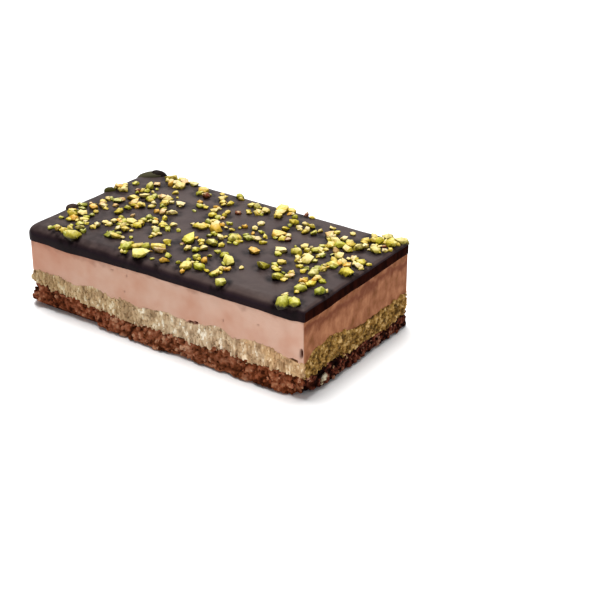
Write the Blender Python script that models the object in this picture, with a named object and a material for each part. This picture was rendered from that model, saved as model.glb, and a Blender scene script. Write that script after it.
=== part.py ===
"""A cut block of layered chocolate cake: crumbly brownie base, kataifi filling, chocolate mousse
and a dark glaze with chopped pistachios. Metres, +Z up, origin under the middle of the cake,
+X towards the freshly cut end, -Y towards the front long side."""

import math
import random

import bmesh
import bpy
from mathutils import Euler, Matrix, Vector, noise

# Driving dimensions
LENGTH = 0.1650
CUT_WIDTH = 0.0870
FLARE = 0.0037
CUT_SET_BACK = 0.0026
HEIGHT = 0.0440
DROP = 0.0021
CUT_CORNER = 0.0010
OLD_CORNER = 0.0050

# Layers, measured up from the floor, the gap that keeps neighbours apart, and how much a
# layer's outer edge turns away from its neighbour
BASE_TOP = 0.0097
KATAIFI_TOP = 0.0201
KATAIFI_DROP = 0.0010
GLAZE_DEPTH = 0.0063
GAP = 0.0003
LIP = 0.0002

# Unevenness of each border over the plan, as rows of seed, size and wavelength
BASE_BORDER_WAVES = ((3.3, 0.0014, 0.021), (4.7, 0.0009, 0.008))
KATAIFI_BORDER_WAVES = ((5.3, 0.0013, 0.024), (6.1, 0.0011, 0.007))
GLAZE_BORDER_WAVES = ((7.7, 0.0004, 0.018), (8.9, 0.0002, 0.007))
HEEL_WAVES = ((2.2, 0.0006, 0.013),)

# Rises and dips of two borders on the front side: place along it, height, reach
BASE_BUMPS = (
    (-0.0790, 0.0026, 0.0140),
    (-0.0520, 0.0016, 0.0050),
    (-0.0160, -0.0014, 0.0040),
    (0.0500, -0.0014, 0.0040),
    (0.0620, 0.0010, 0.0040),
)
KATAIFI_BUMPS = (
    (-0.0520, -0.0017, 0.0070),
    (-0.0280, -0.0016, 0.0060),
    (-0.0100, -0.0012, 0.0040),
    (0.0345, 0.0026, 0.0065),
    (0.0450, -0.0012, 0.0040),
    (0.0735, -0.0022, 0.0060),
)
FRONT_SIDE = (-0.0440, -0.0340)

# Unevenness of each side, in the same form
BASE_LUMPS = ((1.5, 0.0017, 0.0095), (9.5, 0.0010, 0.0045))
KATAIFI_LUMPS = ((2.5, 0.0007, 0.0052),)
MOUSSE_LUMPS = ((3.5, 0.0001, 0.0200),)
GLAZE_LUMPS = ((4.5, 0.0003, 0.0110),)

# The glaze is thicker towards the old end, in shares of the length from the cut, and a little
# thinner on the cut, where the knife has also lifted the kataifi, most between two places in y
OLD_GLAZE_EXTRA = 0.0012
OLD_GLAZE_ZONE = (0.50, 0.85)
CUT_ZONE = 0.0050
CUT_GLAZE_LESS = 0.0004
KATAIFI_LIFT = 0.0022
LIFT_START = (-0.0460, -0.0360)
LIFT_END = (-0.0250, 0.0050)

# Plan detail
SPACING = 0.0050
ARC_STEPS = 3
BORDER_REACH = 0.0018
FLAT_REACH = 0.0075

# Base profile: lumps stand out fully at its foot and less at its top
BASE_ROWS = 4
BASE_BULGE = 0.0022
LOW_BULGE = 0.0012
OLD_END_SET_BACK = 0.0016
OLD_END_ZONE = (0.94, 0.99)
LOW_END = 0.0030
HIGH_START = 0.0100
HIGH_LUMPS = 0.4
HEEL_REACH = 0.0030
HEEL_LIFT = 0.0006
HEEL_UNDERCUT = 0.0008
CHIP = 0.0040
CHIP_CORE = 0.0010
CHIP_REACH = 0.0140

# Kataifi and mousse profiles
KATAIFI_ROWS = 3
KATAIFI_SET_BACK = 0.0003
MOUSSE_ROWS = 2

# Glaze profile
GLAZE_OVERHANG = 0.0005
CUT_OVERHANG = 0.0002
OLD_SHOULDER = 0.0048
CUT_SHOULDER = 0.0020
SHOULDER_STEPS = 3

# Chopped pistachios: each piece's length, its width and height as shares of that, its greatest
# height, how much it tilts in radians, how uneven it is and the share that is sunk in the glaze
NUT_SEED = 21
NUT_LENGTH = (0.0028, 0.0048)
NUT_WIDTH = (0.66, 0.92)
NUT_HEIGHT = (0.58, 0.76)
TALLEST_NUT = 0.0040
NUT_TILT = 0.25
NUT_UNEVEN = (0.82, 1.16)
NUT_SUNK = 0.30
NUT_GAP = 0.0032
NUT_EDGE = 0.0017
NUT_TRIES = 14

# The largest pieces: x, y and length
LARGE_NUTS = (
    (-0.0775, 0.0165, 0.0046),
    (-0.0640, 0.0245, 0.0052),
    (-0.0560, 0.0030, 0.0050),
    (-0.0700, -0.0250, 0.0054),
    (-0.0530, -0.0425, 0.0060),
    (-0.0235, -0.0385, 0.0062),
    (-0.0125, -0.0415, 0.0062),
    (-0.0110, -0.0305, 0.0070),
    (-0.0050, -0.0165, 0.0070),
    (-0.0380, 0.0360, 0.0062),
    (-0.0025, 0.0005, 0.0062),
    (0.0070, -0.0130, 0.0052),
    (0.0130, -0.0400, 0.0056),
    (0.0190, -0.0370, 0.0052),
    (-0.0330, 0.0050, 0.0050),
    (0.0005, -0.0405, 0.0046),
    (0.0360, -0.0432, 0.0052),
    (-0.0550, -0.0080, 0.0048),
    (-0.0415, -0.0150, 0.0046),
    (-0.0365, -0.0135, 0.0046),
    (-0.0570, -0.0340, 0.0044),
    (-0.0650, -0.0400, 0.0044),
    (-0.0240, -0.0170, 0.0050),
    (-0.0520, 0.0340, 0.0046),
    (-0.0630, 0.0400, 0.0052),
    (0.0120, -0.0040, 0.0060),
    (0.0260, -0.0250, 0.0056),
    (0.0280, -0.0090, 0.0056),
    (0.0095, 0.0375, 0.0066),
    (0.0260, 0.0120, 0.0062),
    (0.0450, 0.0010, 0.0056),
    (0.0540, -0.0040, 0.0058),
    (0.0420, -0.0200, 0.0054),
    (0.0540, -0.0260, 0.0056),
    (0.0695, -0.0300, 0.0056),
    (0.0785, -0.0270, 0.0056),
    (0.0750, -0.0420, 0.0060),
    (0.0700, -0.0436, 0.0074),
    (0.0570, 0.0180, 0.0060),
    (0.0660, -0.0010, 0.0056),
    (0.0765, -0.0050, 0.0062),
    (0.0760, 0.0070, 0.0056),
    (0.0700, 0.0320, 0.0056),
    (0.0755, 0.0325, 0.0054),
    (0.0460, 0.0260, 0.0050),
    (0.0650, -0.0130, 0.0050),
    (-0.0030, 0.0340, 0.0050),
    (0.0380, -0.0020, 0.0048),
    (0.0655, 0.0210, 0.0054),
    (0.0740, 0.0230, 0.0050),
)

# Middle x, middle y, spread and number of each crowd of smaller pieces
CROWDS = (
    (-0.065, 0.027, 0.002, 1),
    (-0.074, 0.016, 0.004, 3),
    (-0.061, 0.003, 0.006, 9),
    (-0.072, -0.010, 0.003, 3),
    (-0.069, -0.025, 0.004, 4),
    (-0.057, -0.037, 0.005, 5),
    (-0.053, 0.037, 0.006, 5),
    (-0.041, 0.012, 0.006, 6),
    (-0.044, -0.018, 0.005, 6),
    (-0.030, -0.009, 0.005, 6),
    (-0.036, -0.032, 0.004, 3),
    (-0.021, -0.037, 0.005, 3),
    (-0.021, 0.030, 0.007, 6),
    (-0.010, 0.014, 0.006, 4),
    (-0.009, -0.022, 0.006, 4),
    (0.003, -0.006, 0.006, 4),
    (0.010, 0.035, 0.004, 4),
    (0.014, -0.031, 0.006, 5),
    (0.021, 0.004, 0.007, 5),
    (0.029, 0.026, 0.005, 7),
    (0.028, -0.025, 0.006, 3),
    (0.046, 0.024, 0.004, 2),
    (0.050, 0.002, 0.006, 7),
    (0.050, -0.021, 0.005, 3),
    (0.060, 0.021, 0.005, 7),
    (0.071, 0.030, 0.004, 6),
    (0.070, 0.003, 0.006, 7),
    (0.070, -0.025, 0.005, 2),
)


def plan_corners():
    """The four corners anticlockwise from the cut's front one, each with its radius."""
    half_length = LENGTH / 2
    half_width = (CUT_WIDTH + FLARE) / 2
    return (
        (Vector((half_length, -half_width)), CUT_CORNER),
        (Vector((half_length - CUT_SET_BACK, CUT_WIDTH - half_width)), CUT_CORNER),
        (Vector((-half_length, half_width)), OLD_CORNER),
        (Vector((-half_length, -half_width)), OLD_CORNER),
    )


def rounded(before, corner, after, radius):
    """The arc that rounds one corner, as places with their outward directions."""
    arriving = (corner - before).normalized()
    leaving = (after - corner).normalized()
    first = Vector((arriving.y, -arriving.x))
    turn = math.acos(arriving.dot(leaving))
    centre = corner - arriving * radius * math.tan(turn / 2) - first * radius
    arc = []
    for step in range(ARC_STEPS + 1):
        outward = Matrix.Rotation(turn * step / ARC_STEPS, 2) @ first
        arc.append((centre + outward * radius, outward))
    return arc


def outline():
    """The cake seen from above, anticlockwise, as places with their outward directions."""
    corners = plan_corners()
    arcs = []
    for i, (corner, radius) in enumerate(corners):
        before = corners[i - 1][0]
        after = corners[(i + 1) % len(corners)][0]
        arcs.append(rounded(before, corner, after, radius))
    rim = []
    for i, arc in enumerate(arcs):
        rim.extend(arc)
        start, outward = arc[-1]
        end = arcs[(i + 1) % len(arcs)][0][0]
        steps = round((end - start).length / SPACING)
        for step in range(1, steps):
            rim.append((start.lerp(end, step / steps), outward))
    return rim


def waves(rows, place):
    """Smooth unevenness over the plan: the sum of the rows' noises."""
    total = 0
    for seed, size, wavelength in rows:
        total += size * noise.noise(Vector((place.x / wavelength, place.y / wavelength, seed)))
    return total


def bumps(rows, place):
    """The rises and dips here, which fade away from the front side."""
    total = 0
    for middle, height, reach in rows:
        total += height * math.exp(-(((place.x - middle) / reach) ** 2))
    return total * (1 - ramp(place.y, *FRONT_SIDE))


def lumps(rows, place, height):
    """Smooth unevenness of the cake's sides: the sum of the rows' noises."""
    total = 0
    for seed, size, wavelength in rows:
        spot = Vector((place.x, place.y, height)) / wavelength
        total += size * noise.noise(spot + Vector((seed, 0, 0)))
    return total


def ramp(value, start, end):
    """0 before start and 1 past end, with a soft step between them."""
    share = min(max((value - start) / (end - start), 0), 1)
    return share * share * (3 - 2 * share)


def at_cut(place):
    """1 on the cut end, falling to 0 a little way behind it."""
    return ramp(place.x, LENGTH / 2 - CUT_SET_BACK - CUT_ZONE, LENGTH / 2 - CUT_SET_BACK)


def from_cut(place):
    """0 at the cut end and 1 at the old end."""
    return 0.5 - place.x / LENGTH


def top_plane(place):
    """The flat part of the glaze, which falls a little towards the old end."""
    return HEIGHT - DROP * from_cut(place)


def base_flat(place):
    return BASE_TOP


def kataifi_flat(place):
    return KATAIFI_TOP - KATAIFI_DROP * from_cut(place)


def glaze_flat(place):
    return top_plane(place) - GLAZE_DEPTH


def base_border(place):
    return base_flat(place) + waves(BASE_BORDER_WAVES, place) + bumps(BASE_BUMPS, place)


def kataifi_border(place):
    stretch = ramp(place.y, *LIFT_START) * (1 - ramp(place.y, *LIFT_END))
    lift = KATAIFI_LIFT * at_cut(place) * stretch + bumps(KATAIFI_BUMPS, place)
    return kataifi_flat(place) + waves(KATAIFI_BORDER_WAVES, place) + lift


def glaze_border(place):
    extra = OLD_GLAZE_EXTRA * ramp(from_cut(place), *OLD_GLAZE_ZONE)
    less = CUT_GLAZE_LESS * at_cut(place)
    return glaze_flat(place) + waves(GLAZE_BORDER_WAVES, place) - extra + less


def drawn_in(place, inset):
    """The place moved towards the middle of the cake, so that a ring of them keeps its shape."""
    return Vector(
        (
            place.x * (1 - 2 * inset / LENGTH),
            place.y * (1 - 2 * inset / (CUT_WIDTH + FLARE)),
        )
    )


def moved(place, outward, amount):
    """The place pushed out, or drawn in so that a tight corner doesn't cross itself."""
    return place + outward * amount if amount > 0 else drawn_in(place, -amount)


def joint_rings(rim, border, flat, shift, relief):
    """The rings of a layer's upper or lower face, from the flat middle out to the side."""
    inner = []
    middle = []
    outer = []
    for place, outward in rim:
        level = border(place) + shift
        lip = level + math.copysign(LIP, shift)
        deep = drawn_in(place, FLAT_REACH)
        near = drawn_in(place, BORDER_REACH)
        edge = moved(place, outward, relief(place, lip))
        inner.append(Vector((deep.x, deep.y, flat(place) + shift)))
        middle.append(Vector((near.x, near.y, level)))
        outer.append(Vector((edge.x, edge.y, lip)))
    return [inner, middle, outer]


def side_rings(lower, upper, rim, rows, relief):
    """The rings between a layer's lower and upper edge, moved out by its relief."""
    rings = []
    for row in range(1, rows):
        ring = []
        for (place, outward), low, high in zip(rim, lower, upper):
            height = low.z + (high.z - low.z) * row / rows
            edge = moved(place, outward, relief(place, height))
            ring.append(Vector((edge.x, edge.y, height)))
        rings.append(ring)
    return rings


def body_through(name, rings, material):
    """One closed body that runs through the rings, from the lowest flat to the highest."""
    bm = bmesh.new()
    number = bm.verts.layers.int.new("number")
    start = bmesh.ops.create_circle(bm, cap_ends=True, segments=len(rings[0]), radius=1)
    for i, vert in enumerate(start["verts"]):
        vert[number] = i
    foot = start["verts"][0].link_faces[0]
    for vert in foot.verts:
        vert.co = rings[0][vert[number]]
    face = foot
    for ring in rings[1:]:
        made = bmesh.ops.extrude_face_region(bm, geom=[face])["geom"]
        if face is not foot:
            bmesh.ops.delete(bm, geom=[face], context="FACES_ONLY")
        face = next(item for item in made if isinstance(item, bmesh.types.BMFace))
        for vert in face.verts:
            vert.co = ring[vert[number]]
    bmesh.ops.recalc_face_normals(bm, faces=bm.faces)
    # The shorter diagonal is the same in both faces of a joint, so neighbours stay parallel
    bmesh.ops.triangulate(bm, faces=bm.faces, quad_method="SHORT_EDGE")
    mesh = bpy.data.meshes.new(name)
    bm.to_mesh(mesh)
    bm.free()
    mesh.materials.append(material)
    layer = bpy.data.objects.new(name, mesh)
    bpy.data.collections["layer_cake"].objects.link(layer)
    return layer


def principled(name, colour, roughness):
    """A plain surface, its colour given as linear red, green and blue."""
    material = bpy.data.materials.new(name)
    material.use_nodes = True
    shader = material.node_tree.nodes["Principled BSDF"]
    shader.inputs["Base Color"].default_value = (*colour, 1)
    shader.inputs["Roughness"].default_value = roughness
    shader.inputs["Metallic"].default_value = 0
    return material


def chip(place):
    """How far the base is broken away round the cut's front corner."""
    front_corner = plan_corners()[0][0]
    return CHIP * (1 - ramp((place - front_corner).length, CHIP_CORE, CHIP_REACH))


def base_relief(place, height):
    """Lumps of brownie that stand out most low down, less what has broken off."""
    low = 1 - ramp(height, LOW_END, HIGH_START)
    crumbs = (HIGH_LUMPS + (1 - HIGH_LUMPS) * low) * lumps(BASE_LUMPS, place, height)
    set_back = OLD_END_SET_BACK * ramp(from_cut(place), *OLD_END_ZONE)
    return min(crumbs + (LOW_BULGE - chip(place)) * low - set_back, BASE_BULGE)


def kataifi_relief(place, height):
    return max(lumps(KATAIFI_LUMPS, place, height) - KATAIFI_SET_BACK, -CUT_CORNER)


def mousse_relief(place, height):
    return lumps(MOUSSE_LUMPS, place, height)


def glaze_relief(place, height):
    overhang = GLAZE_OVERHANG + (CUT_OVERHANG - GLAZE_OVERHANG) * at_cut(place)
    return overhang + lumps(GLAZE_LUMPS, place, height)


def brownie_base(rim):
    """The crumbly base, with a flat foot and a broken lower edge."""
    foot = []
    heel = []
    for place, outward in rim:
        flat = drawn_in(place, HEEL_REACH + chip(place))
        lifted = HEEL_LIFT + waves(HEEL_WAVES, place)
        edge = moved(place, outward, base_relief(place, lifted) - HEEL_UNDERCUT)
        foot.append(Vector((flat.x, flat.y, 0)))
        heel.append(Vector((edge.x, edge.y, lifted)))
    upper = joint_rings(rim, base_border, base_flat, -GAP / 2, base_relief)
    sides = side_rings(heel, upper[2], rim, BASE_ROWS, base_relief)
    rings = [foot, heel, *sides, *reversed(upper)]
    crumb = principled("chocolate_brownie", (0.135, 0.042, 0.018), 0.85)
    return body_through("base", rings, crumb)


def kataifi_layer(rim):
    """Toasted pastry threads bound with pistachio cream."""
    lower = joint_rings(rim, base_border, base_flat, GAP / 2, kataifi_relief)
    upper = joint_rings(rim, kataifi_border, kataifi_flat, -GAP / 2, kataifi_relief)
    sides = side_rings(lower[2], upper[2], rim, KATAIFI_ROWS, kataifi_relief)
    threads = principled("kataifi_and_pistachio_cream", (0.42, 0.29, 0.15), 0.75)
    return body_through("kataifi_layer", [*lower, *sides, *reversed(upper)], threads)


def mousse(rim):
    lower = joint_rings(rim, kataifi_border, kataifi_flat, GAP / 2, mousse_relief)
    upper = joint_rings(rim, glaze_border, glaze_flat, -GAP / 2, mousse_relief)
    sides = side_rings(lower[2], upper[2], rim, MOUSSE_ROWS, mousse_relief)
    cream = principled("milk_chocolate_mousse", (0.56, 0.32, 0.22), 0.6)
    return body_through("mousse", [*lower, *sides, *reversed(upper)], cream)


def shoulder(place):
    """The rounding of the glaze's upper edge, small where the knife went through."""
    return OLD_SHOULDER + (CUT_SHOULDER - OLD_SHOULDER) * at_cut(place)


def glaze_rings(rim):
    """The glaze from its underside, round the shoulder and onto the flat top."""
    rings = joint_rings(rim, glaze_border, glaze_flat, GAP / 2, glaze_relief)
    for step in range(SHOULDER_STEPS + 1):
        angle = math.pi / 2 * step / SHOULDER_STEPS
        ring = []
        for place, outward in rim:
            radius = shoulder(place)
            height = top_plane(place) - radius * (1 - math.sin(angle))
            back = radius * (1 - math.cos(angle))
            edge = moved(place, outward, glaze_relief(place, height) - back)
            ring.append(Vector((edge.x, edge.y, height)))
        rings.append(ring)
    return rings


def edge_distances(place):
    """How far a place on the top lies inside the old sides, the nearest, and inside the cut."""
    half_width = (CUT_WIDTH + FLARE) / 2
    back_edge = CUT_WIDTH - half_width + FLARE * from_cut(place)
    cut_edge = LENGTH / 2 - CUT_SET_BACK * (0.5 + place.y / (2 * half_width))
    old_sides = min(place.x + LENGTH / 2, place.y + half_width, back_edge - place.y)
    return old_sides, cut_edge - place.x


def top_surface(place):
    """The height of the glaze's top, which falls over the rounded old edges."""
    radius = shoulder(place)
    short = max(radius - GLAZE_OVERHANG - edge_distances(place)[0], 0)
    return top_plane(place) - radius + math.sqrt(radius**2 - short**2)


def nut_spots(draw):
    """Where the pieces of pistachio lie and how long they are: the large ones, then crowds of
    smaller ones, none on top of another."""
    spots = [(Vector((x, y)), length) for x, y, length in LARGE_NUTS]
    for middle_x, middle_y, spread, count in CROWDS:
        wanted = len(spots) + count
        for _ in range(count * NUT_TRIES):
            place = Vector((draw.gauss(middle_x, spread), draw.gauss(middle_y, spread)))
            apart = all((place - other).length > NUT_GAP for other, _ in spots)
            if apart and min(edge_distances(place)) > NUT_EDGE and len(spots) < wanted:
                spots.append((place, draw.uniform(*NUT_LENGTH)))
    return spots


def nut_matrix(draw, place, length):
    """Size, turn and place of one piece of pistachio, partly sunk in the glaze."""
    width = length * draw.uniform(*NUT_WIDTH)
    height = min(length * draw.uniform(*NUT_HEIGHT), TALLEST_NUT)
    turn = Euler((draw.gauss(0, NUT_TILT), draw.gauss(0, NUT_TILT), draw.uniform(0, math.tau)))
    middle = top_surface(place) + height * (0.5 - NUT_SUNK)
    spot = Matrix.Translation((place.x, place.y, middle))
    size = Matrix.Diagonal((length / 2, width / 2, height / 2, 1))
    return spot @ turn.to_matrix().to_4x4() @ size


def nut_piece(draw, matrix, index, collection):
    """A broken piece of pistachio, as an uneven faceted pebble."""
    bm = bmesh.new()
    bmesh.ops.create_icosphere(bm, subdivisions=1, radius=1)
    for vert in bm.verts:
        vert.co *= draw.uniform(*NUT_UNEVEN)
    bmesh.ops.transform(bm, matrix=matrix, verts=bm.verts)
    mesh = bpy.data.meshes.new(f"nut_{index}")
    bm.to_mesh(mesh)
    bm.free()
    collection.objects.link(bpy.data.objects.new(f"nut_{index}", mesh))


def glaze(rim):
    """Dark chocolate glaze with the chopped pistachios fused to it."""
    chocolate = principled("dark_chocolate_glaze", (0.030, 0.014, 0.011), 0.35)
    cover = body_through("glaze", glaze_rings(rim), chocolate)
    nuts = bpy.data.collections.new("nut_pieces")
    bpy.context.scene.collection.children.link(nuts)
    draw = random.Random(NUT_SEED)
    for index, (place, length) in enumerate(nut_spots(draw)):
        nut_piece(draw, nut_matrix(draw, place, length), index, nuts)
    join = cover.modifiers.new("nuts", "BOOLEAN")
    join.operation = "UNION"
    join.operand_type = "COLLECTION"
    join.collection = nuts
    join.solver = "MANIFOLD"
    graph = bpy.context.evaluated_depsgraph_get()
    joined = bpy.data.meshes.new_from_object(cover.evaluated_get(graph))
    cover.modifiers.remove(join)
    cover.data = joined
    for piece in list(nuts.objects):
        bpy.data.objects.remove(piece)
    bpy.data.collections.remove(nuts)
    return cover


def main():
    for thing in list(bpy.data.objects):
        bpy.data.objects.remove(thing)
    layers = bpy.data.collections.new("layer_cake")
    bpy.context.scene.collection.children.link(layers)
    rim = outline()
    brownie_base(rim)
    kataifi_layer(rim)
    mousse(rim)
    glaze(rim)


main()
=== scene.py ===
"""The looks of a cut block of layered cake: crumbly brownie, toasted kataifi in pistachio cream,
milk chocolate mousse and a dark glaze with chopped pistachios. Metres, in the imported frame."""

import math
import random

import bmesh
import bpy
from mathutils import Euler, Matrix, Vector, noise
from mathutils.kdtree import KDTree


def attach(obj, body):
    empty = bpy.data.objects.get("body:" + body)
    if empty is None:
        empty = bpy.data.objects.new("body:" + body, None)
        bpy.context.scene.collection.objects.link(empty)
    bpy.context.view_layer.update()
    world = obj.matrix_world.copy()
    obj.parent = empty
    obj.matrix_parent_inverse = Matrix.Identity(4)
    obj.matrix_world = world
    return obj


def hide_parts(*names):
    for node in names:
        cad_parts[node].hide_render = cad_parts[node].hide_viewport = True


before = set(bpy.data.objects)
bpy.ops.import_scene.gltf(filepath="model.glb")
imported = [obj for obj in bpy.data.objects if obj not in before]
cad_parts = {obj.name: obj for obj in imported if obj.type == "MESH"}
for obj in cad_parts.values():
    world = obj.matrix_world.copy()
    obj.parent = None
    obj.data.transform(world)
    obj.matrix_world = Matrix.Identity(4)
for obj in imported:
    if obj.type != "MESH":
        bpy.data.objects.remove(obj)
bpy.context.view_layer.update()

# The solids' own sizes and rules, repeated so that each skin keeps its solid's form
LENGTH = 0.1650
CUT_WIDTH = 0.0870
FLARE = 0.0037
CUT_SET_BACK = 0.0026
HEIGHT = 0.0440
DROP = 0.0021
CUT_CORNER = 0.0010
OLD_CORNER = 0.0050
BASE_TOP = 0.0097
KATAIFI_TOP = 0.0201
KATAIFI_DROP = 0.0010
GLAZE_DEPTH = 0.0063
BASE_BORDER_WAVES = ((3.3, 0.0014, 0.021), (4.7, 0.0009, 0.008))
KATAIFI_BORDER_WAVES = ((5.3, 0.0013, 0.024), (6.1, 0.0011, 0.007))
GLAZE_BORDER_WAVES = ((7.7, 0.0004, 0.018), (8.9, 0.0002, 0.007))
HEEL_WAVES = ((2.2, 0.0006, 0.013),)

# Rises and dips of two borders on the front side: place along it, height, reach. The last of the
# kataifi's is the skins' alone
BASE_BUMPS = (
    (-0.0790, 0.0026, 0.0140),
    (-0.0520, 0.0016, 0.0050),
    (-0.0160, -0.0014, 0.0040),
    (0.0500, -0.0014, 0.0040),
    (0.0620, 0.0010, 0.0040),
)
KATAIFI_BUMPS = (
    (-0.0520, -0.0017, 0.0070),
    (-0.0280, -0.0016, 0.0060),
    (-0.0100, -0.0012, 0.0040),
    (0.0345, 0.0026, 0.0065),
    (0.0450, -0.0012, 0.0040),
    (0.0735, -0.0022, 0.0060),
    (0.0805, -0.0020, 0.0045),
)
FRONT_SIDE = (-0.0440, -0.0340)
BASE_LUMPS = ((1.5, 0.0017, 0.0095), (9.5, 0.0010, 0.0045))
KATAIFI_LUMPS = ((2.5, 0.0007, 0.0052),)
MOUSSE_LUMPS = ((3.5, 0.0001, 0.0200),)
GLAZE_LUMPS = ((4.5, 0.0003, 0.0110),)
OLD_GLAZE_EXTRA = 0.0012
OLD_GLAZE_ZONE = (0.50, 0.85)
CUT_ZONE = 0.0050
CUT_GLAZE_LESS = 0.0004
KATAIFI_LIFT = 0.0022
LIFT_START = (-0.0460, -0.0360)
LIFT_END = (-0.0250, 0.0050)
BORDER_REACH = 0.0018
FLAT_REACH = 0.0075
BASE_BULGE = 0.0022
LOW_BULGE = 0.0012
OLD_END_ZONE = (0.94, 0.99)
LOW_END = 0.0030
HIGH_START = 0.0100
HIGH_LUMPS = 0.4
HEEL_REACH = 0.0030
HEEL_LIFT = 0.0006
HEEL_UNDERCUT = 0.0008
CHIP = 0.0040
CHIP_CORE = 0.0010
CHIP_REACH = 0.0140
KATAIFI_SET_BACK = 0.0003
GLAZE_OVERHANG = 0.0005
CUT_OVERHANG = 0.0002
OLD_SHOULDER = 0.0048
CUT_SHOULDER = 0.0020
NUT_SEED = 21
NUT_LENGTH = (0.0028, 0.0048)
NUT_WIDTH = (0.66, 0.92)
NUT_HEIGHT = (0.58, 0.76)
TALLEST_NUT = 0.0040
NUT_TILT = 0.25
NUT_UNEVEN = (0.82, 1.16)
NUT_SUNK = 0.30
NUT_GAP = 0.0032
NUT_EDGE = 0.0017
NUT_TRIES = 14

# The largest pieces of pistachio: x, y, length and colour
LARGE_NUTS = (
    (-0.0775, 0.0165, 0.0046, "dcb04c"),
    (-0.0640, 0.0245, 0.0052, "b4b43c"),
    (-0.0560, 0.0030, 0.0050, "dcc084"),
    (-0.0700, -0.0250, 0.0054, "bcae30"),
    (-0.0530, -0.0425, 0.0060, "b8b43c"),
    (-0.0235, -0.0385, 0.0062, "b4bc40"),
    (-0.0125, -0.0415, 0.0062, "dcda80"),
    (-0.0110, -0.0305, 0.0070, "d8c850"),
    (-0.0050, -0.0165, 0.0070, "dcdc5c"),
    (-0.0380, 0.0360, 0.0062, "dcc050"),
    (-0.0025, 0.0005, 0.0062, "d8b838"),
    (0.0070, -0.0130, 0.0052, "d0d074"),
    (0.0130, -0.0400, 0.0056, "e2d67c"),
    (0.0190, -0.0370, 0.0052, "bec84c"),
    (-0.0330, 0.0050, 0.0050, "e0d2a0"),
    (0.0005, -0.0405, 0.0046, "d6ae40"),
    (0.0360, -0.0432, 0.0052, "c4c86c"),
    (-0.0550, -0.0080, 0.0048, "c8be48"),
    (-0.0415, -0.0150, 0.0046, "dad07e"),
    (-0.0365, -0.0135, 0.0046, "c8b43e"),
    (-0.0570, -0.0340, 0.0044, "d6d08e"),
    (-0.0650, -0.0400, 0.0044, "bea23e"),
    (-0.0240, -0.0170, 0.0050, "d6da9c"),
    (-0.0520, 0.0340, 0.0046, "d6c880"),
    (-0.0630, 0.0400, 0.0052, "c0b24e"),
    (0.0120, -0.0040, 0.0060, "dada80"),
    (0.0260, -0.0250, 0.0056, "e0de7c"),
    (0.0280, -0.0090, 0.0056, "dcb85c"),
    (0.0095, 0.0375, 0.0066, "dec84c"),
    (0.0260, 0.0120, 0.0062, "dcbc54"),
    (0.0450, 0.0010, 0.0056, "ccc65c"),
    (0.0540, -0.0040, 0.0058, "e6dea0"),
    (0.0420, -0.0200, 0.0054, "a8a63a"),
    (0.0540, -0.0260, 0.0056, "bec042"),
    (0.0695, -0.0300, 0.0056, "c2ca5c"),
    (0.0785, -0.0270, 0.0056, "a6b442"),
    (0.0750, -0.0420, 0.0060, "bec43a"),
    (0.0700, -0.0436, 0.0074, "c2ca6a"),
    (0.0570, 0.0180, 0.0060, "bcc43e"),
    (0.0660, -0.0010, 0.0056, "dad46c"),
    (0.0765, -0.0050, 0.0062, "e0d85c"),
    (0.0760, 0.0070, 0.0056, "d6d260"),
    (0.0700, 0.0320, 0.0056, "d4d23e"),
    (0.0755, 0.0325, 0.0054, "ccc44e"),
    (0.0460, 0.0260, 0.0050, "dcbc84"),
    (0.0650, -0.0130, 0.0050, "dedea0"),
    (-0.0030, 0.0340, 0.0050, "aeac4c"),
    (0.0380, -0.0020, 0.0048, "eae2b2"),
    (0.0655, 0.0210, 0.0054, "d6d082"),
    (0.0740, 0.0230, 0.0050, "dad68e"),
)
CROWDS = (
    (-0.065, 0.027, 0.002, 1),
    (-0.074, 0.016, 0.004, 3),
    (-0.061, 0.003, 0.006, 9),
    (-0.072, -0.010, 0.003, 3),
    (-0.069, -0.025, 0.004, 4),
    (-0.057, -0.037, 0.005, 5),
    (-0.053, 0.037, 0.006, 5),
    (-0.041, 0.012, 0.006, 6),
    (-0.044, -0.018, 0.005, 6),
    (-0.030, -0.009, 0.005, 6),
    (-0.036, -0.032, 0.004, 3),
    (-0.021, -0.037, 0.005, 3),
    (-0.021, 0.030, 0.007, 6),
    (-0.010, 0.014, 0.006, 4),
    (-0.009, -0.022, 0.006, 4),
    (0.003, -0.006, 0.006, 4),
    (0.010, 0.035, 0.004, 4),
    (0.014, -0.031, 0.006, 5),
    (0.021, 0.004, 0.007, 5),
    (0.029, 0.026, 0.005, 7),
    (0.028, -0.025, 0.006, 3),
    (0.046, 0.024, 0.004, 2),
    (0.050, 0.002, 0.006, 7),
    (0.050, -0.021, 0.005, 3),
    (0.060, 0.021, 0.005, 7),
    (0.071, 0.030, 0.004, 6),
    (0.070, 0.003, 0.006, 7),
    (0.070, -0.025, 0.005, 2),
)

# Measured in the photo once the solids were made, so only the skins follow them: the base's old
# end stands back by half as much as in the solid, the layers dip on the cut, and the base's lumps
# are flatter there and on the lower front, where its lower edge is lifted too
OLD_END_SET_BACK = 0.0008
FRONT_HEEL_LIFT = 0.0018
FRONT_HEEL_ZONE = (0.0300, 0.0420)
FLATNESS = 0.85
CORNER_ZONE = (0.93, 0.98)
CUT_DIP = 0.0022
CUT_DIP_ZONE = (-0.0240, -0.0040)

# Painted shade on the glaze: a painted shadow this far round a nut and, less so, painted shade near
# its old edges and towards the old end's front corner, where its sheen fades
NUT_SHADOW_ZONE = (0.0011, 0.0044)
EDGE_SHADE = 0.22
EDGE_SHADE_ZONE = (0.0050, 0.0150)
FADED_SHEEN_SHADE = 0.50
FADED_SHEEN_ZONE = (-0.0660, -0.0300)
FADED_SHEEN_LEAN = 0.57

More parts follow.
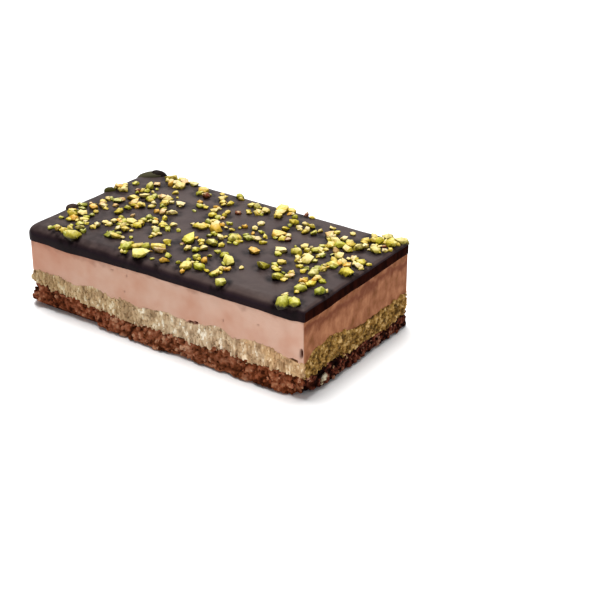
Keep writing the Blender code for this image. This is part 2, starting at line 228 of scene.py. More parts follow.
# How finely the skins and the surfaces under what grows are made, from which angle an edge of
# theirs is sharp, and the hairline left between neighbours
SKIN_SPACING = 0.0006
SURFACE_SPACING = 0.0030
CORNER_STEPS = 8
BASE_ROWS = 22
KATAIFI_ROWS = 14
MOUSSE_ROWS = 34
SIDE_ROWS = 4
SHOULDER_STEPS = 12
TOP_STEPS = 30
SHARP_SKIN = 1.2
SHARP_NUTS = 0.3
HAIRLINE = 0.00005

# How far a side faces +X where it begins to be cut and where it is wholly cut, how far it faces Y
# on the front, and how far it faces +X where the glaze is sliced
CUT_FACING = (0.3, 0.9)
FRONT_FACING = -0.7
SLICED_FACING = 0.96

# The faint waves of the glaze's top
TOP_WAVE = 0.00015
TOP_WAVELENGTH = 0.018

# Torn brownie: the size of its lumps and how far they stand out, how wide the cracks between them
# are, the level that stays in place, and a fine unevenness over all
CRUMB_CELLS = ((0.0046, 0.0011), (0.0019, 0.0004))
CRACK = 0.55
CRUMB_LEVEL = 0.6
JAG = 0.0006
JAG_SIZE = 0.0013

# Threads pressed into the pistachio cream: how far they stand out, and their size across and up
PRESSED = 0.00045
PRESSED_ACROSS = 0.0011
PRESSED_UP = 0.0034

# Holes in the mousse's front: x, height, half length, half height, depth. Then the depth that is
# painted darkest, as shade in the hole, and where a hole's wall begins and ends, by those halves
FRONT_HOLES = (
    (0.0808, 0.0228, 0.0010, 0.0024, 0.0018),
    (0.0768, 0.0182, 0.0022, 0.0008, 0.0016),
    (0.0195, 0.0196, 0.0017, 0.0009, 0.0014),
    (0.0225, 0.0203, 0.0014, 0.0007, 0.0012),
    (-0.0270, 0.0174, 0.0012, 0.0008, 0.0012),
    (-0.0440, 0.0184, 0.0008, 0.0007, 0.0010),
    (0.0385, 0.0262, 0.0004, 0.0012, 0.0005),
    (-0.0270, 0.0330, 0.0012, 0.0004, 0.0005),
    (-0.0180, 0.0325, 0.0004, 0.0009, 0.0005),
    (-0.0200, 0.0240, 0.0006, 0.0006, 0.0005),
    (0.0580, 0.0300, 0.0008, 0.0005, 0.0004),
)
DEEP_HOLE = 0.0012
HOLE_WALL = (0.5, 1.3)

# The mousse's shader knows in centimetres how far the glaze's border is
CENTIMETRES = 100

# Where the brownie's crumbs start and end, past its lower and upper edges
CRUMBS_FOOT = 0.0012
FRONT_CRUMBS_LIFT = 0.0020
CRUMBS_OVER = 0.0010
OLD_CRUMBS_OVER = 0.0010
OLD_CRUMBS_ZONE = (0.80, 0.90)

# The noises that shape, in waves for each metre: 5 mm for a thread's bends, 1.1 mm for a crumb's
# breaks and 1.4 mm for a nut's
THREAD_WRIGGLE = 190.0
CRUMB_BREAKS = 900.0
NUT_BREAKS = 700.0

# Floor, light and the photo's camera
FLOOR_SIZE = 6
SKY_STRENGTH = 0.40
OVERHEAD_ANGLE = math.radians(36)
OVERHEAD_ENERGY = 4.4
OVERHEAD_PLACE = (-0.22, 0.12, 1.20)
SHEEN_SIZE = 0.7
SHEEN_ENERGY = 2.6
SHEEN_PLACE = (-0.62, 0.86, 0.56)
CAMERA_AZIMUTH = math.radians(35.81)
CAMERA_ELEVATION = math.radians(26.18)
CAMERA_TARGET = (0.0489, -0.00185, 0.0220)
CAMERA_DISTANCE = 0.681
FOCAL_LENGTH = 88.7
SENSOR_WIDTH = 36
CLIP_START = 0.01


def plan_corners():
    """The four corners anticlockwise from the cut's front one, each with its radius."""
    half_length = LENGTH / 2
    half_width = (CUT_WIDTH + FLARE) / 2
    return (
        (Vector((half_length, -half_width)), CUT_CORNER),
        (Vector((half_length - CUT_SET_BACK, CUT_WIDTH - half_width)), CUT_CORNER),
        (Vector((-half_length, half_width)), OLD_CORNER),
        (Vector((-half_length, -half_width)), OLD_CORNER),
    )


def rounded(before, corner, after, radius):
    """The arc that rounds one corner, as places with their outward directions."""
    arriving = (corner - before).normalized()
    leaving = (after - corner).normalized()
    first = Vector((arriving.y, -arriving.x))
    turn = math.acos(arriving.dot(leaving))
    centre = corner - arriving * radius * math.tan(turn / 2) - first * radius
    arc = []
    for step in range(CORNER_STEPS + 1):
        outward = Matrix.Rotation(turn * step / CORNER_STEPS, 2) @ first
        arc.append((centre + outward * radius, outward))
    return arc


def outline(spacing):
    """The cake seen from above, anticlockwise, as places with their outward directions."""
    corners = plan_corners()
    arcs = []
    for i, (corner, radius) in enumerate(corners):
        before = corners[i - 1][0]
        after = corners[(i + 1) % len(corners)][0]
        arcs.append(rounded(before, corner, after, radius))
    rim = []
    for i, arc in enumerate(arcs):
        rim.extend(arc)
        start, outward = arc[-1]
        end = arcs[(i + 1) % len(arcs)][0][0]
        steps = round((end - start).length / spacing)
        for step in range(1, steps):
            rim.append((start.lerp(end, step / steps), outward))
    return rim


def waves(rows, place):
    """Smooth unevenness over the plan: the sum of the rows' noises."""
    total = 0
    for seed, size, wavelength in rows:
        total += size * noise.noise(Vector((place.x / wavelength, place.y / wavelength, seed)))
    return total


def bumps(rows, place):
    """The rises and dips here, which fade away from the front side."""
    total = 0
    for middle, height, reach in rows:
        total += height * math.exp(-(((place.x - middle) / reach) ** 2))
    return total * (1 - ramp(place.y, *FRONT_SIDE))


def lumps(rows, place, height):
    """Smooth unevenness of the cake's sides: the sum of the rows' noises."""
    total = 0
    for seed, size, wavelength in rows:
        spot = Vector((place.x, place.y, height)) / wavelength
        total += size * noise.noise(spot + Vector((seed, 0, 0)))
    return total


def ramp(value, start, end):
    """0 before start and 1 past end, with a soft step between them."""
    share = min(max((value - start) / (end - start), 0), 1)
    return share * share * (3 - 2 * share)


def at_cut(place):
    """1 on the cut end, falling to 0 a little way behind it."""
    return ramp(place.x, LENGTH / 2 - CUT_SET_BACK - CUT_ZONE, LENGTH / 2 - CUT_SET_BACK)


def from_cut(place):
    """0 at the cut end and 1 at the old end."""
    return 0.5 - place.x / LENGTH


def top_plane(place):
    """The flat part of the glaze, which falls a little towards the old end."""
    return HEIGHT - DROP * from_cut(place)


def base_flat(place):
    return BASE_TOP


def kataifi_flat(place):
    return KATAIFI_TOP - KATAIFI_DROP * from_cut(place)


def glaze_flat(place):
    return top_plane(place) - GLAZE_DEPTH


def base_border(place):
    bumped = waves(BASE_BORDER_WAVES, place) + bumps(BASE_BUMPS, place)
    return base_flat(place) + bumped - cut_dip(place)


def kataifi_border(place):
    stretch = ramp(place.y, *LIFT_START) * (1 - ramp(place.y, *LIFT_END))
    lift = KATAIFI_LIFT * at_cut(place) * stretch + bumps(KATAIFI_BUMPS, place)
    return kataifi_flat(place) + waves(KATAIFI_BORDER_WAVES, place) + lift - cut_dip(place)


def glaze_border(place):
    extra = OLD_GLAZE_EXTRA * ramp(from_cut(place), *OLD_GLAZE_ZONE)
    less = CUT_GLAZE_LESS * at_cut(place)
    return glaze_flat(place) + waves(GLAZE_BORDER_WAVES, place) - extra + less


def drawn_in(place, inset):
    """The place moved towards the middle of the cake, so that a ring of them keeps its shape."""
    along_cake = 1 - 2 * inset / LENGTH
    across_cake = 1 - 2 * inset / (CUT_WIDTH + FLARE)
    return Vector((place.x * along_cake, place.y * across_cake))


def moved(place, outward, amount):
    """The place pushed out, or drawn in so that a tight corner doesn't cross itself."""
    return place + outward * amount if amount > 0 else drawn_in(place, -amount)


def side_point(place, outward, height, relief, more=0):
    """A point of the side at this height, moved out by its relief and so much more."""
    return Vector((*moved(place, outward, relief(place, height) + more), height))


def joint_rings(rim, border, flat, shift, relief):
    """The rings of a layer's upper or lower face, from the flat middle out to the side."""
    inner = []
    middle = []
    outer = []
    for place, outward in rim:
        level = border(place) + shift
        inner.append(Vector((*drawn_in(place, FLAT_REACH), flat(place) + shift)))
        middle.append(Vector((*drawn_in(place, BORDER_REACH), level)))
        outer.append(side_point(place, outward, level, relief))
    return [inner, middle, outer]


def side_rings(lower, upper, rim, rows, relief):
    """The rings between a layer's lower and upper edge, moved out by its relief."""
    rings = []
    for row in range(1, rows):
        ring = []
        for (place, outward), low, high in zip(rim, lower, upper):
            height = low.z + (high.z - low.z) * row / rows
            ring.append(side_point(place, outward, height, relief))
        rings.append(ring)
    return rings


def chip(place):
    """How far the base is broken away round the cut's front corner."""
    front_corner = plan_corners()[0][0]
    return CHIP * (1 - ramp((place - front_corner).length, CHIP_CORE, CHIP_REACH))


def at_front_heel(place):
    """1 where the brownie's lower edge is broken away most, on the front towards the old end."""
    return ramp(-place.x, *FRONT_HEEL_ZONE) * (1 - ramp(place.y, *FRONT_SIDE))


def cut_dip(place):
    """How far the layers dip on the cut, behind its front third."""
    return CUT_DIP * at_cut(place) * ramp(place.y, *CUT_DIP_ZONE)


def crumb(place, height):
    """Round lumps with cracks between them, as torn brownie has."""
    total = 0
    for cell, size in CRUMB_CELLS:
        nearest = noise.voronoi(Vector((place.x, place.y, height)) / cell)[0]
        share = min((nearest[1] - nearest[0]) / CRACK, 1)
        total += size * (share * (2 - share) - CRUMB_LEVEL)
    return total + JAG * noise.noise(Vector((place.x, place.y, height)) / JAG_SIZE)


def base_relief(place, height):
    """Lumps of brownie that stand out most low down, less what has broken off."""
    low = 1 - ramp(height, LOW_END, HIGH_START)
    crumbs = (HIGH_LUMPS + (1 - HIGH_LUMPS) * low) * lumps(BASE_LUMPS, place, height)
    set_back = OLD_END_SET_BACK * ramp(from_cut(place), *OLD_END_ZONE)
    worn = at_front_heel(place) * (1 - ramp(from_cut(place), *CORNER_ZONE))
    flat = FLATNESS * max(at_cut(place), worn)
    coarse = min(crumbs + LOW_BULGE * low, BASE_BULGE) * (1 - flat)
    return coarse - chip(place) * low - set_back + crumb(place, height)


def kataifi_relief(place, height):
    return max(lumps(KATAIFI_LUMPS, place, height) - KATAIFI_SET_BACK, -CUT_CORNER)


def mousse_relief(place, height):
    return lumps(MOUSSE_LUMPS, place, height)


def glaze_relief(place, height):
    overhang = GLAZE_OVERHANG + (CUT_OVERHANG - GLAZE_OVERHANG) * at_cut(place)
    return overhang + lumps(GLAZE_LUMPS, place, height)


def shoulder(place):
    """The rounding of the glaze's upper edge, small where the knife went through."""
    return OLD_SHOULDER + (CUT_SHOULDER - OLD_SHOULDER) * at_cut(place)


def per_metre(millimetres):
    """A pattern's scale, from the real size of its grains, streaks or patches."""
    return 1000 / millimetres


# Each surface's patterns by their real size. Grain under 1.5 mm is finer on the real food, and is
# drawn this coarse so that it shows
BROWNIE_GRAIN = per_metre(2.381)
BROWNIE_PATCH = per_metre(9.091)
TINT_CLOUD = per_metre(11.11)
PASTRY_GRAIN = per_metre(1.6667)
PASTRY_CLUMP = per_metre(2.778)
MOUSSE_PATCH = per_metre(14.29)
MOUSSE_STREAK = per_metre(4.167)
MOUSSE_CLOUD = per_metre(9.091)
MOUSSE_GRAIN = per_metre(1.111)
GLAZE_PATCH = per_metre(16.67)
GLAZE_GRAIN = per_metre(3.846)
SLICED_STREAK = per_metre(2.857)
DARK_NUT_GRAIN = per_metre(3.333)
FLAKE_GRAIN = per_metre(1.111)
NUT_GRAIN = per_metre(1.4286)
FLOOR_CLOUD = per_metre(33.33)

# The settings that make a mix of two colours their product
TIMES = {"data_type": "RGBA", "blend_type": "MULTIPLY"}

# Tints along the cake, from the old end to the cut: painted shade that darkens the sides towards
# the old end, where less light falls, warming a little near the cut
BROWNIE_TINTS = (
    (0.0, "e0d0c8"),
    (0.25, "ecdcd4"),
    (0.45, "ffffff"),
    (0.70, "ffffff"),
    (0.90, "fff0e4"),
)
MOUSSE_TINTS = ((0.0, "e3cfc6"), (0.35, "eeeae6"), (0.65, "f3f0ee"), (1.0, "ffffff"))
PASTRY_TINTS = (
    (0.0, "d4ccb4"),
    (0.35, "eae5d6"),
    (0.62, "fcffff"),
    (0.78, "f5f0ea"),
    (0.95, "faead2"),
)


def linear(code):
    """A six-figure sRGB hex value as linear red, green, blue and alpha."""
    parts = [int(code[i : i + 2], 16) / 255 for i in (0, 2, 4)]
    return (*[c / 12.92 if c < 0.04045 else ((c + 0.055) / 1.055) ** 2.4 for c in parts], 1)


def output(source):
    """A socket as it is, and a node as its first output in use."""
    if isinstance(source, bpy.types.Node):
        return next(socket for socket in source.outputs if socket.enabled)
    return source


def node(tree, kind, inputs=None, stops=None, **settings):
    """Adds a node, sets its properties and colour stops, and fills or links its inputs."""
    made = tree.nodes.new(kind)
    for name, value in settings.items():
        setattr(made, name, value)
    for name, value in (inputs or {}).items():
        source = output(value)
        if isinstance(source, bpy.types.NodeSocket):
            tree.links.new(source, made.inputs[name])
        else:
            made.inputs[name].default_value = value
    if stops:
        bar = made.color_ramp.elements
        while len(bar) < len(stops):
            bar.new(1)
        for mark, (position, code) in zip(bar, stops):
            mark.position = position
            mark.color = linear(code)
    return made


def surface_material(name, *patterns):
    """A new material, its tree, its Principled shader, its object coordinates and a noise for
    each pattern's scale and detail."""
    material = bpy.data.materials.new(name)
    material.use_nodes = True
    tree = material.node_tree
    place = node(tree, "ShaderNodeTexCoord").outputs["Object"]
    made = [material, tree, tree.nodes["Principled BSDF"], place]
    for scale, detail in patterns:
        pattern = {"Vector": place, "Scale": scale, "Detail": detail}
        made.append(node(tree, "ShaderNodeTexNoise", pattern))
    return made


def finish_shader(tree, shader, colour, height, depth, **constants):
    """Gives the shader its colour, its bump and its constant values."""
    bump = node(tree, "ShaderNodeBump", {"Height": height, "Distance": depth, "Strength": 1.0})
    tree.links.new(output(colour), shader.inputs["Base Color"])
    tree.links.new(output(bump), shader.inputs["Normal"])
    for label, value in constants.items():
        shader.inputs[label.replace("_", " ")].default_value = value


def weighted(tree, start, *terms):
    """The start plus each value times its weight."""
    total = start
    for value, weight in terms:
        term = {0: value, 1: weight, 2: total}
        total = node(tree, "ShaderNodeMath", term, operation="MULTIPLY_ADD")
    return total


def along(tree, place, stops):
    """A tint along the cake's long sides, from the old end to the cut: painted shade towards the
    old end.
    """
    across = node(tree, "ShaderNodeSeparateXYZ", {"Vector": place})
    cloud = node(tree, "ShaderNodeTexNoise", {"Vector": place, "Scale": TINT_CLOUD, "Detail": 2.0})
    ends = {"Value": across, "From Min": -LENGTH / 2, "From Max": LENGTH / 2}
    share = node(tree, "ShaderNodeMapRange", ends)
    wandering = weighted(tree, -0.25, (share, 1.0), (cloud, 0.5))
    return node(tree, "ShaderNodeValToRGB", {"Fac": wandering}, stops=stops)


def old_and_cut(tree, place, value, old, cut_with_shade, tints):
    """Colours for the old sides and for the cut, darker partly as painted shade, and a tint along
    both.
    """
    aged = node(tree, "ShaderNodeValToRGB", {"Fac": value}, stops=old)
    inner = node(tree, "ShaderNodeValToRGB", {"Fac": value}, stops=cut_with_shade)
    cut = node(tree, "ShaderNodeAttribute", attribute_name="cut").outputs["Fac"]
    face = node(tree, "ShaderNodeMix", {0: cut, 6: aged, 7: inner}, data_type="RGBA")
    tint = {0: 1.0, 6: face, 7: along(tree, place, tints)}
    return node(tree, "ShaderNodeMix", tint, **TIMES)


def brownie_material():
    """Torn baked brownie: matt, moist crumb, nearly black to red brown, with painted shade in its
    cracks.
    """
    material, tree, shader, place, grain, patch = surface_material(
        "baked_brownie_torn_crumb", (BROWNIE_GRAIN, 5.0), (BROWNIE_PATCH, 2.0)
    )
    # tint: on the skin its relief, painting the cracks darker as shade and the lumps lighter; on a
    # crumb its own chance tone
    tint = node(tree, "ShaderNodeAttribute", attribute_name="tint").outputs["Fac"]
    colour = old_and_cut(
        tree,
        place,
        weighted(tree, -0.56, (grain, 1.1), (patch, 1.1), (tint, 0.3)),
        ((0.25, "3c1a0a"), (0.43, "6e3b21"), (0.57, "8c5238"), (0.72, "a26c50"), (0.90, "be9274")),
        # The cut: darker, partly the inside's own colour and partly painted shade
        ((0.35, "120301"), (0.55, "301008"), (0.76, "744030"), (0.95, "b08a74")),
        BROWNIE_TINTS,
    )
    finish_shader(tree, shader, colour, grain, 0.0004, Roughness=0.8, IOR=1.12)
    return material


def pastry_clumps(tree, place, grain):
    """Light and dark clumps with grain: upright ones on the old sides and round ones on the cut."""
    upright = node(tree, "ShaderNodeMapping", {"Vector": place, "Scale": (1, 1, 0.45)})
    cut = node(tree, "ShaderNodeAttribute", attribute_name="cut").outputs["Fac"]
    turned = node(tree, "ShaderNodeMix", {0: cut, 4: upright, 5: place}, data_type="VECTOR")
    clumps = {"Vector": turned, "Scale": PASTRY_CLUMP, "Detail": 2.0}
    clump = node(tree, "ShaderNodeTexNoise", clumps)
    return weighted(tree, -1.125, (grain, 0.25), (clump, 2.8))


def cream_material():
    """Pistachio cream between the threads: matt green beige, painted darker as shade under them."""
    material, tree, shader, place, grain = surface_material(
        "pistachio_cream_pressed", (PASTRY_GRAIN, 3.0)
    )
    colour = old_and_cut(
        tree,
        place,
        pastry_clumps(tree, place, grain),
        # The old sides: darker than the threads, as painted shade in the gaps
        ((0.0, "a4886a"), (0.25, "bc9f7f"), (0.55, "d6bc9b")),
        # The cut: darker, partly the inside's own colour and partly painted shade
        ((0.0, "584316"), (0.25, "705626"), (0.55, "927640")),
        PASTRY_TINTS,
    )
    finish_shader(tree, shader, colour, grain, 0.0004, Roughness=0.8, IOR=1.2)
    return material


def thread_material():
    """Shredded pastry, toasted in butter: threads from olive gold to cream, dry, faintly glossy."""
    material, tree, shader, place, grain = surface_material(
        "kataifi_pastry_toasted", (PASTRY_GRAIN, 3.0)
    )
    tint = node(tree, "ShaderNodeAttribute", attribute_name="tint").outputs["Fac"]
    colour = old_and_cut(
        tree,
        place,
        weighted(tree, pastry_clumps(tree, place, grain), (tint, 0.2)),
        ((0.0, "b2987b"), (0.40, "cdb08f"), (0.72, "dfc9a9"), (1.0, "fdf3e2")),
        # The cut: darker, partly the inside's own colour and partly painted shade
        ((0.0, "54401a"), (0.40, "90723a"), (0.70, "b09256"), (1.0, "dac494")),
        PASTRY_TINTS,
    )
    finish_shader(tree, shader, colour, grain, 0.0001, Roughness=0.7, IOR=1.2)
    return material


def mousse_material():
    """Set chocolate mousse, cut with a moistened knife: matt, pink beige, streaked on the cut and
    darker there, partly as painted shade."""
    material, tree, shader, place, patch, cloud, grain = surface_material(
        "milk_chocolate_mousse_set", (MOUSSE_PATCH, 3.0), (MOUSSE_CLOUD, 2.0), (MOUSSE_GRAIN, 4.0)
    )
    cut, below, pit = (
        node(tree, "ShaderNodeAttribute", attribute_name=name).outputs["Fac"]
        for name in ("cut", "below_glaze", "pit")
    )
    beiges = ((0.32, "ce9e87"), (0.50, "d4ab96"), (0.68, "d8b4a1"))
    pale = node(tree, "ShaderNodeValToRGB", {"Fac": patch}, stops=beiges)
    tint = {0: 1.0, 6: pale, 7: along(tree, place, MOUSSE_TINTS)}
    pull = node(tree, "ShaderNodeMapping", {"Vector": place, "Scale": (1, 1, 0.75)})
    pulled = {"Vector": pull, "Scale": MOUSSE_STREAK, "Detail": 4.0}
    streak = node(tree, "ShaderNodeTexNoise", pulled)
    # The cut's colours: darker than the front, partly own colour and partly painted shade
    shaded_cut_browns = ((0.30, "7a4826"), (0.50, "986040"), (0.70, "b07652"))
    dragged = node(tree, "ShaderNodeValToRGB", {"Fac": streak}, stops=shaded_cut_browns)
    depth = weighted(tree, -0.5, (cloud, 1.1), (below, 1.0), (streak, 0.4))
    bands = ((0.36, "000000"), (0.52, "e2e2e2"), (0.64, "e2e2e2"), (1.0, "000000"))
    smear = node(tree, "ShaderNodeValToRGB", {"Fac": depth}, stops=bands)
    smearing = {0: smear, 6: dragged, 7: linear("683018")}
    smeared = node(tree, "ShaderNodeMix", smearing, data_type="RGBA")
    # Darker just under the glaze's border, where the clouds let it
    edge = {"Value": depth, "From Min": 0.20, "From Max": 0.42, "To Min": 0.3, "To Max": 0.0}
    under_glaze_band = node(tree, "ShaderNodeMapRange", edge)
    # Holes painted darker, as shade
    hole_shade = node(tree, "ShaderNodeMapRange", {"Value": pit, "From Min": 0.1, "From Max": 0.9})
    colour = node(tree, "ShaderNodeMix", tint, **TIMES)
    for share, over in ((cut, smeared), (under_glaze_band, linear("6a3418")), (hole_shade, linear("481808"))):
        colour = node(tree, "ShaderNodeMix", {0: share, 6: colour, 7: over}, data_type="RGBA")
    finish_shader(tree, shader, colour, grain, 0.00015, Roughness=0.7, IOR=1.18)
    return material


def glaze_material():
    """Dark chocolate glaze, poured and set: satin; a painted sheen makes the top brown grey, and
    painted shade takes it to nearly black down the sides and round the nuts."""
    material, tree, shader, place, patch, grain = surface_material(
        "dark_chocolate_glaze_poured", (GLAZE_PATCH, 3.0), (GLAZE_GRAIN, 3.0)
    )
    steep, shade = (
        node(tree, "ShaderNodeAttribute", attribute_name=name).outputs["Fac"]
        for name in ("steep", "shade")
    )
    # Painted sheen and shade by steepness: brown grey on the top and the shoulder's upper half,
    # painted shade to nearly black down the sides
    falls = (
        (0.0, "4a3e3b"),
        (0.26, "544642"),
        (0.48, "352829"),
        (0.74, "23161e"),
        (1.0, "1e0e12"),
    )
    bare = node(tree, "ShaderNodeValToRGB", {"Fac": steep}, stops=falls)
    clouds = ((0.35, "d8d4da"), (0.65, "ffffff"))
    cloud = node(tree, "ShaderNodeValToRGB", {"Fac": patch}, stops=clouds)
    clouded = node(tree, "ShaderNodeMix", {0: 1.0, 6: bare, 7: cloud}, **TIMES)
    uneven = {"Value": grain, "From Min": 0.35, "From Max": 0.6, "To Min": 0.3, "To Max": 1.0}
    broken = node(tree, "ShaderNodeMapRange", uneven)
    # Painted shade: a shadow round the nuts and shade near the old edges and the old end, broken up
    # by the grain
    painted_shade = node(tree, "ShaderNodeMath", {0: shade, 1: broken}, operation="MULTIPLY")
    darkened = {0: painted_shade, 6: clouded, 7: linear("0e0507")}
    colour = node(tree, "ShaderNodeMix", darkened, data_type="RGBA")
    finish_shader(tree, shader, colour, grain, 0.00008, Roughness=0.45, IOR=1.13)
    return material


def cut_glaze_material():
    """Dark chocolate glaze, sliced with a warm knife: nearly black and matt, smeared downwards."""
    material, tree, shader, place = surface_material("dark_chocolate_glaze_sliced")
    pull = node(tree, "ShaderNodeMapping", {"Vector": place, "Scale": (1, 1, 0.2)})
    pulled = {"Vector": pull, "Scale": SLICED_STREAK, "Detail": 2.0}
    streak = node(tree, "ShaderNodeTexNoise", pulled)
    smears = ((0.35, "140301"), (0.65, "260b05"))
    colour = node(tree, "ShaderNodeValToRGB", {"Fac": streak}, stops=smears)
    finish_shader(tree, shader, colour, streak, 0.0001, Roughness=0.8, IOR=1.05)
    return material


def dark_nut_material():
    """Dark pieces of pistachio at the old edges: smooth, nearly black, some olive."""
    material, tree, shader, _, grain = surface_material(
        "dark_pistachio_pieces", (DARK_NUT_GRAIN, 2.0)
    )
    flesh = node(tree, "ShaderNodeAttribute", attribute_name="flesh")
    finish_shader(tree, shader, flesh, grain, 0.0001, Roughness=0.5, IOR=1.1)
    return material


def flake_material():
    """Bits of kataifi pastry, torn off: pale, dry and matt, with darker folds."""
    material, tree, shader, _, grain = surface_material(
        "kataifi_pastry_flakes", (FLAKE_GRAIN, 3.0)
    )
    flesh = node(tree, "ShaderNodeAttribute", attribute_name="flesh")
    folds = ((0.35, "806448"), (0.60, "ffffff"))
    fold = node(tree, "ShaderNodeValToRGB", {"Fac": grain}, stops=folds)
    colour = node(tree, "ShaderNodeMix", {0: 1.0, 6: flesh, 7: fold}, **TIMES)
    finish_shader(tree, shader, colour, grain, 0.0002, Roughness=0.8, IOR=1.3)
    return material


def pistachio_material():
    """Pistachio kernels, chopped: matt, painted pale on top as light and olive low down, into the
    glaze, as shade.
    """
    material, tree, shader, _, grain = surface_material(
        "pistachio_kernels_chopped", (NUT_GRAIN, 3.0)
    )
    flesh = node(tree, "ShaderNodeAttribute", attribute_name="flesh")
    rise = node(tree, "ShaderNodeAttribute", attribute_name="rise").outputs["Fac"]
    # rise: 0 at a piece's foot and 1 at its top, for painted shade low down and a painted highlight
    # on top
    level = weighted(tree, rise, (grain, 0.7))
    shade_to_green_stops = ((0.64, "2c220a"), (0.94, "b4a850"))
    green = node(tree, "ShaderNodeValToRGB", {"Fac": level}, stops=shade_to_green_stops)
    height = node(tree, "ShaderNodeMapRange", {"Value": level, "From Min": 0.94, "From Max": 1.18})
    lit_top_and_shade = {0: height, 6: green, 7: linear("ecdfc8")}
    painted_light_and_shade = node(tree, "ShaderNodeMix", lit_top_and_shade, data_type="RGBA")
    shaded = node(tree, "ShaderNodeMix", {0: 1.0, 6: flesh, 7: painted_light_and_shade}, **TIMES)
    # Painted highlight: the highest parts paler still
    upper = {"Value": level, "From Min": 1.16, "From Max": 1.38, "To Max": 0.5}
    top = node(tree, "ShaderNodeMapRange", upper)
    pale = node(tree, "ShaderNodeMix", {0: top, 6: shaded, 7: linear("ecdfa6")}, data_type="RGBA")
    finish_shader(tree, shader, pale, grain, 0.0002, Roughness=0.5, IOR=1.3)
    return material


def link(name, mesh):
    piece = bpy.data.objects.new(name, mesh)
    bpy.context.scene.collection.objects.link(piece)
    return piece


def keep(bm, name):
    """The object that a finished bmesh becomes."""
    mesh = bpy.data.meshes.new(name)
    bm.to_mesh(mesh)
    bm.free()
    return link(name, mesh)


def marked_mesh(name, points, faces, values):
    """A mesh with a number at each point under each name."""
    mesh = bpy.data.meshes.new(name)
    mesh.from_pydata(points, [], faces)
    for label, numbers in values.items():
        mesh.attributes.new(label, "FLOAT", "POINT").data.foreach_set("value", numbers)
    return mesh


def skin(name, rings, material, values):
    """A closed smooth object through the rings, lowest first, with numbers at its points."""
    size = len(rings[0])
    points = [point for ring in rings for point in ring]
    faces = [tuple(reversed(range(size)))]
    for start in range(0, len(points) - size, size):
        for i in range(size):
            j = (i + 1) % size
            faces.append((start + i, start + j, start + size + j, start + size + i))
    faces.append(tuple(range(len(points) - size, len(points))))
    mesh = marked_mesh(name, points, faces, values)
    mesh.materials.append(material)
    mesh.shade_smooth()
    mesh.set_sharp_from_angle(angle=SHARP_SKIN)
    return link(name, mesh)


def cut_share(rim, rings):
    """1 at each point of the freshly cut face and 0 elsewhere."""
    return [ramp(outward.x, *CUT_FACING) for _, outward in rim] * len(rings)


def brownie_skin(rim):
    """The crumbly base, with a flat foot and a broken lower edge."""
    foot = []
    heel = []
    for place, outward in rim:
        lifted = HEEL_LIFT + waves(HEEL_WAVES, place) + FRONT_HEEL_LIFT * at_front_heel(place)
        foot.append(Vector((*drawn_in(place, HEEL_REACH + chip(place)), 0)))
        heel.append(side_point(place, outward, lifted, base_relief, -HEEL_UNDERCUT))
    upper = joint_rings(rim, base_border, base_flat, -HAIRLINE, base_relief)
    sides = side_rings(heel, upper[2], rim, BASE_ROWS, base_relief)
    rings = [foot, heel, *sides, *reversed(upper)]
    # tint: each point's relief, by which the shader paints the cracks darker, as shade, and the
    # lumps lighter
    most = sum(size for _, size in CRUMB_CELLS)
    tint = []
    for ring in rings:
        for (place, _), point in zip(rim, ring):
            tint.append(crumb(place, point.z) / most)
    values = {"cut": cut_share(rim, rings), "tint": tint}
    return skin("brownie_base", rings, brownie_material(), values)


def pressed_relief(place, height):
    """The kataifi layer's relief with the threads that show through its cream."""
    spot = Vector((place.x, place.y, height * PRESSED_ACROSS / PRESSED_UP)) / PRESSED_ACROSS
    return kataifi_relief(place, height) + PRESSED * noise.noise(spot)


def layer_rings(rim, under, over, rows, relief):
    """The rings of an inner layer, each face given as its border and its flat middle."""
    lower = joint_rings(rim, *under, HAIRLINE, relief)
    upper = joint_rings(rim, *over, -HAIRLINE, relief)
    return [*lower, *side_rings(lower[2], upper[2], rim, rows, relief), *reversed(upper)]


def kataifi_skin(rim):
    """Pistachio cream that binds the threads, seen between them."""
    faces = (base_border, base_flat), (kataifi_border, kataifi_flat)
    rings = layer_rings(rim, *faces, KATAIFI_ROWS, pressed_relief)
    return skin("pistachio_cream", rings, cream_material(), {"cut": cut_share(rim, rings)})


def hole(place, outward, height):
    """How deep a hole goes into the mousse here, as a share of its depth, and that depth."""
    if outward.y > FRONT_FACING:
        return 0, 0
    for x, middle, half_length, half_height, depth in FRONT_HOLES:
        away = math.hypot((place.x - x) / half_length, (height - middle) / half_height)
        if away < HOLE_WALL[1]:
            return 1 - ramp(away, *HOLE_WALL), depth
    return 0, 0


def mousse_skin(rim):
    """The mousse, with the holes of its front."""
    faces = (kataifi_border, kataifi_flat), (glaze_border, glaze_flat)
    rings = layer_rings(rim, *faces, MOUSSE_ROWS, mousse_relief)
    below = []
    pit = []
    for ring in rings:
        for (place, outward), point in zip(rim, ring):
            share, depth = hole(place, outward, point.z)
            point.xy -= outward * share * depth
            below.append((glaze_border(place) - point.z) * CENTIMETRES)
            # pit: how far into a hole, by which the shader paints shade there
            pit.append(share * min(depth / DEEP_HOLE, 1))
    values = {"cut": cut_share(rim, rings), "below_glaze": below, "pit": pit}
    return skin("mousse_layer", rings, mousse_material(), values)


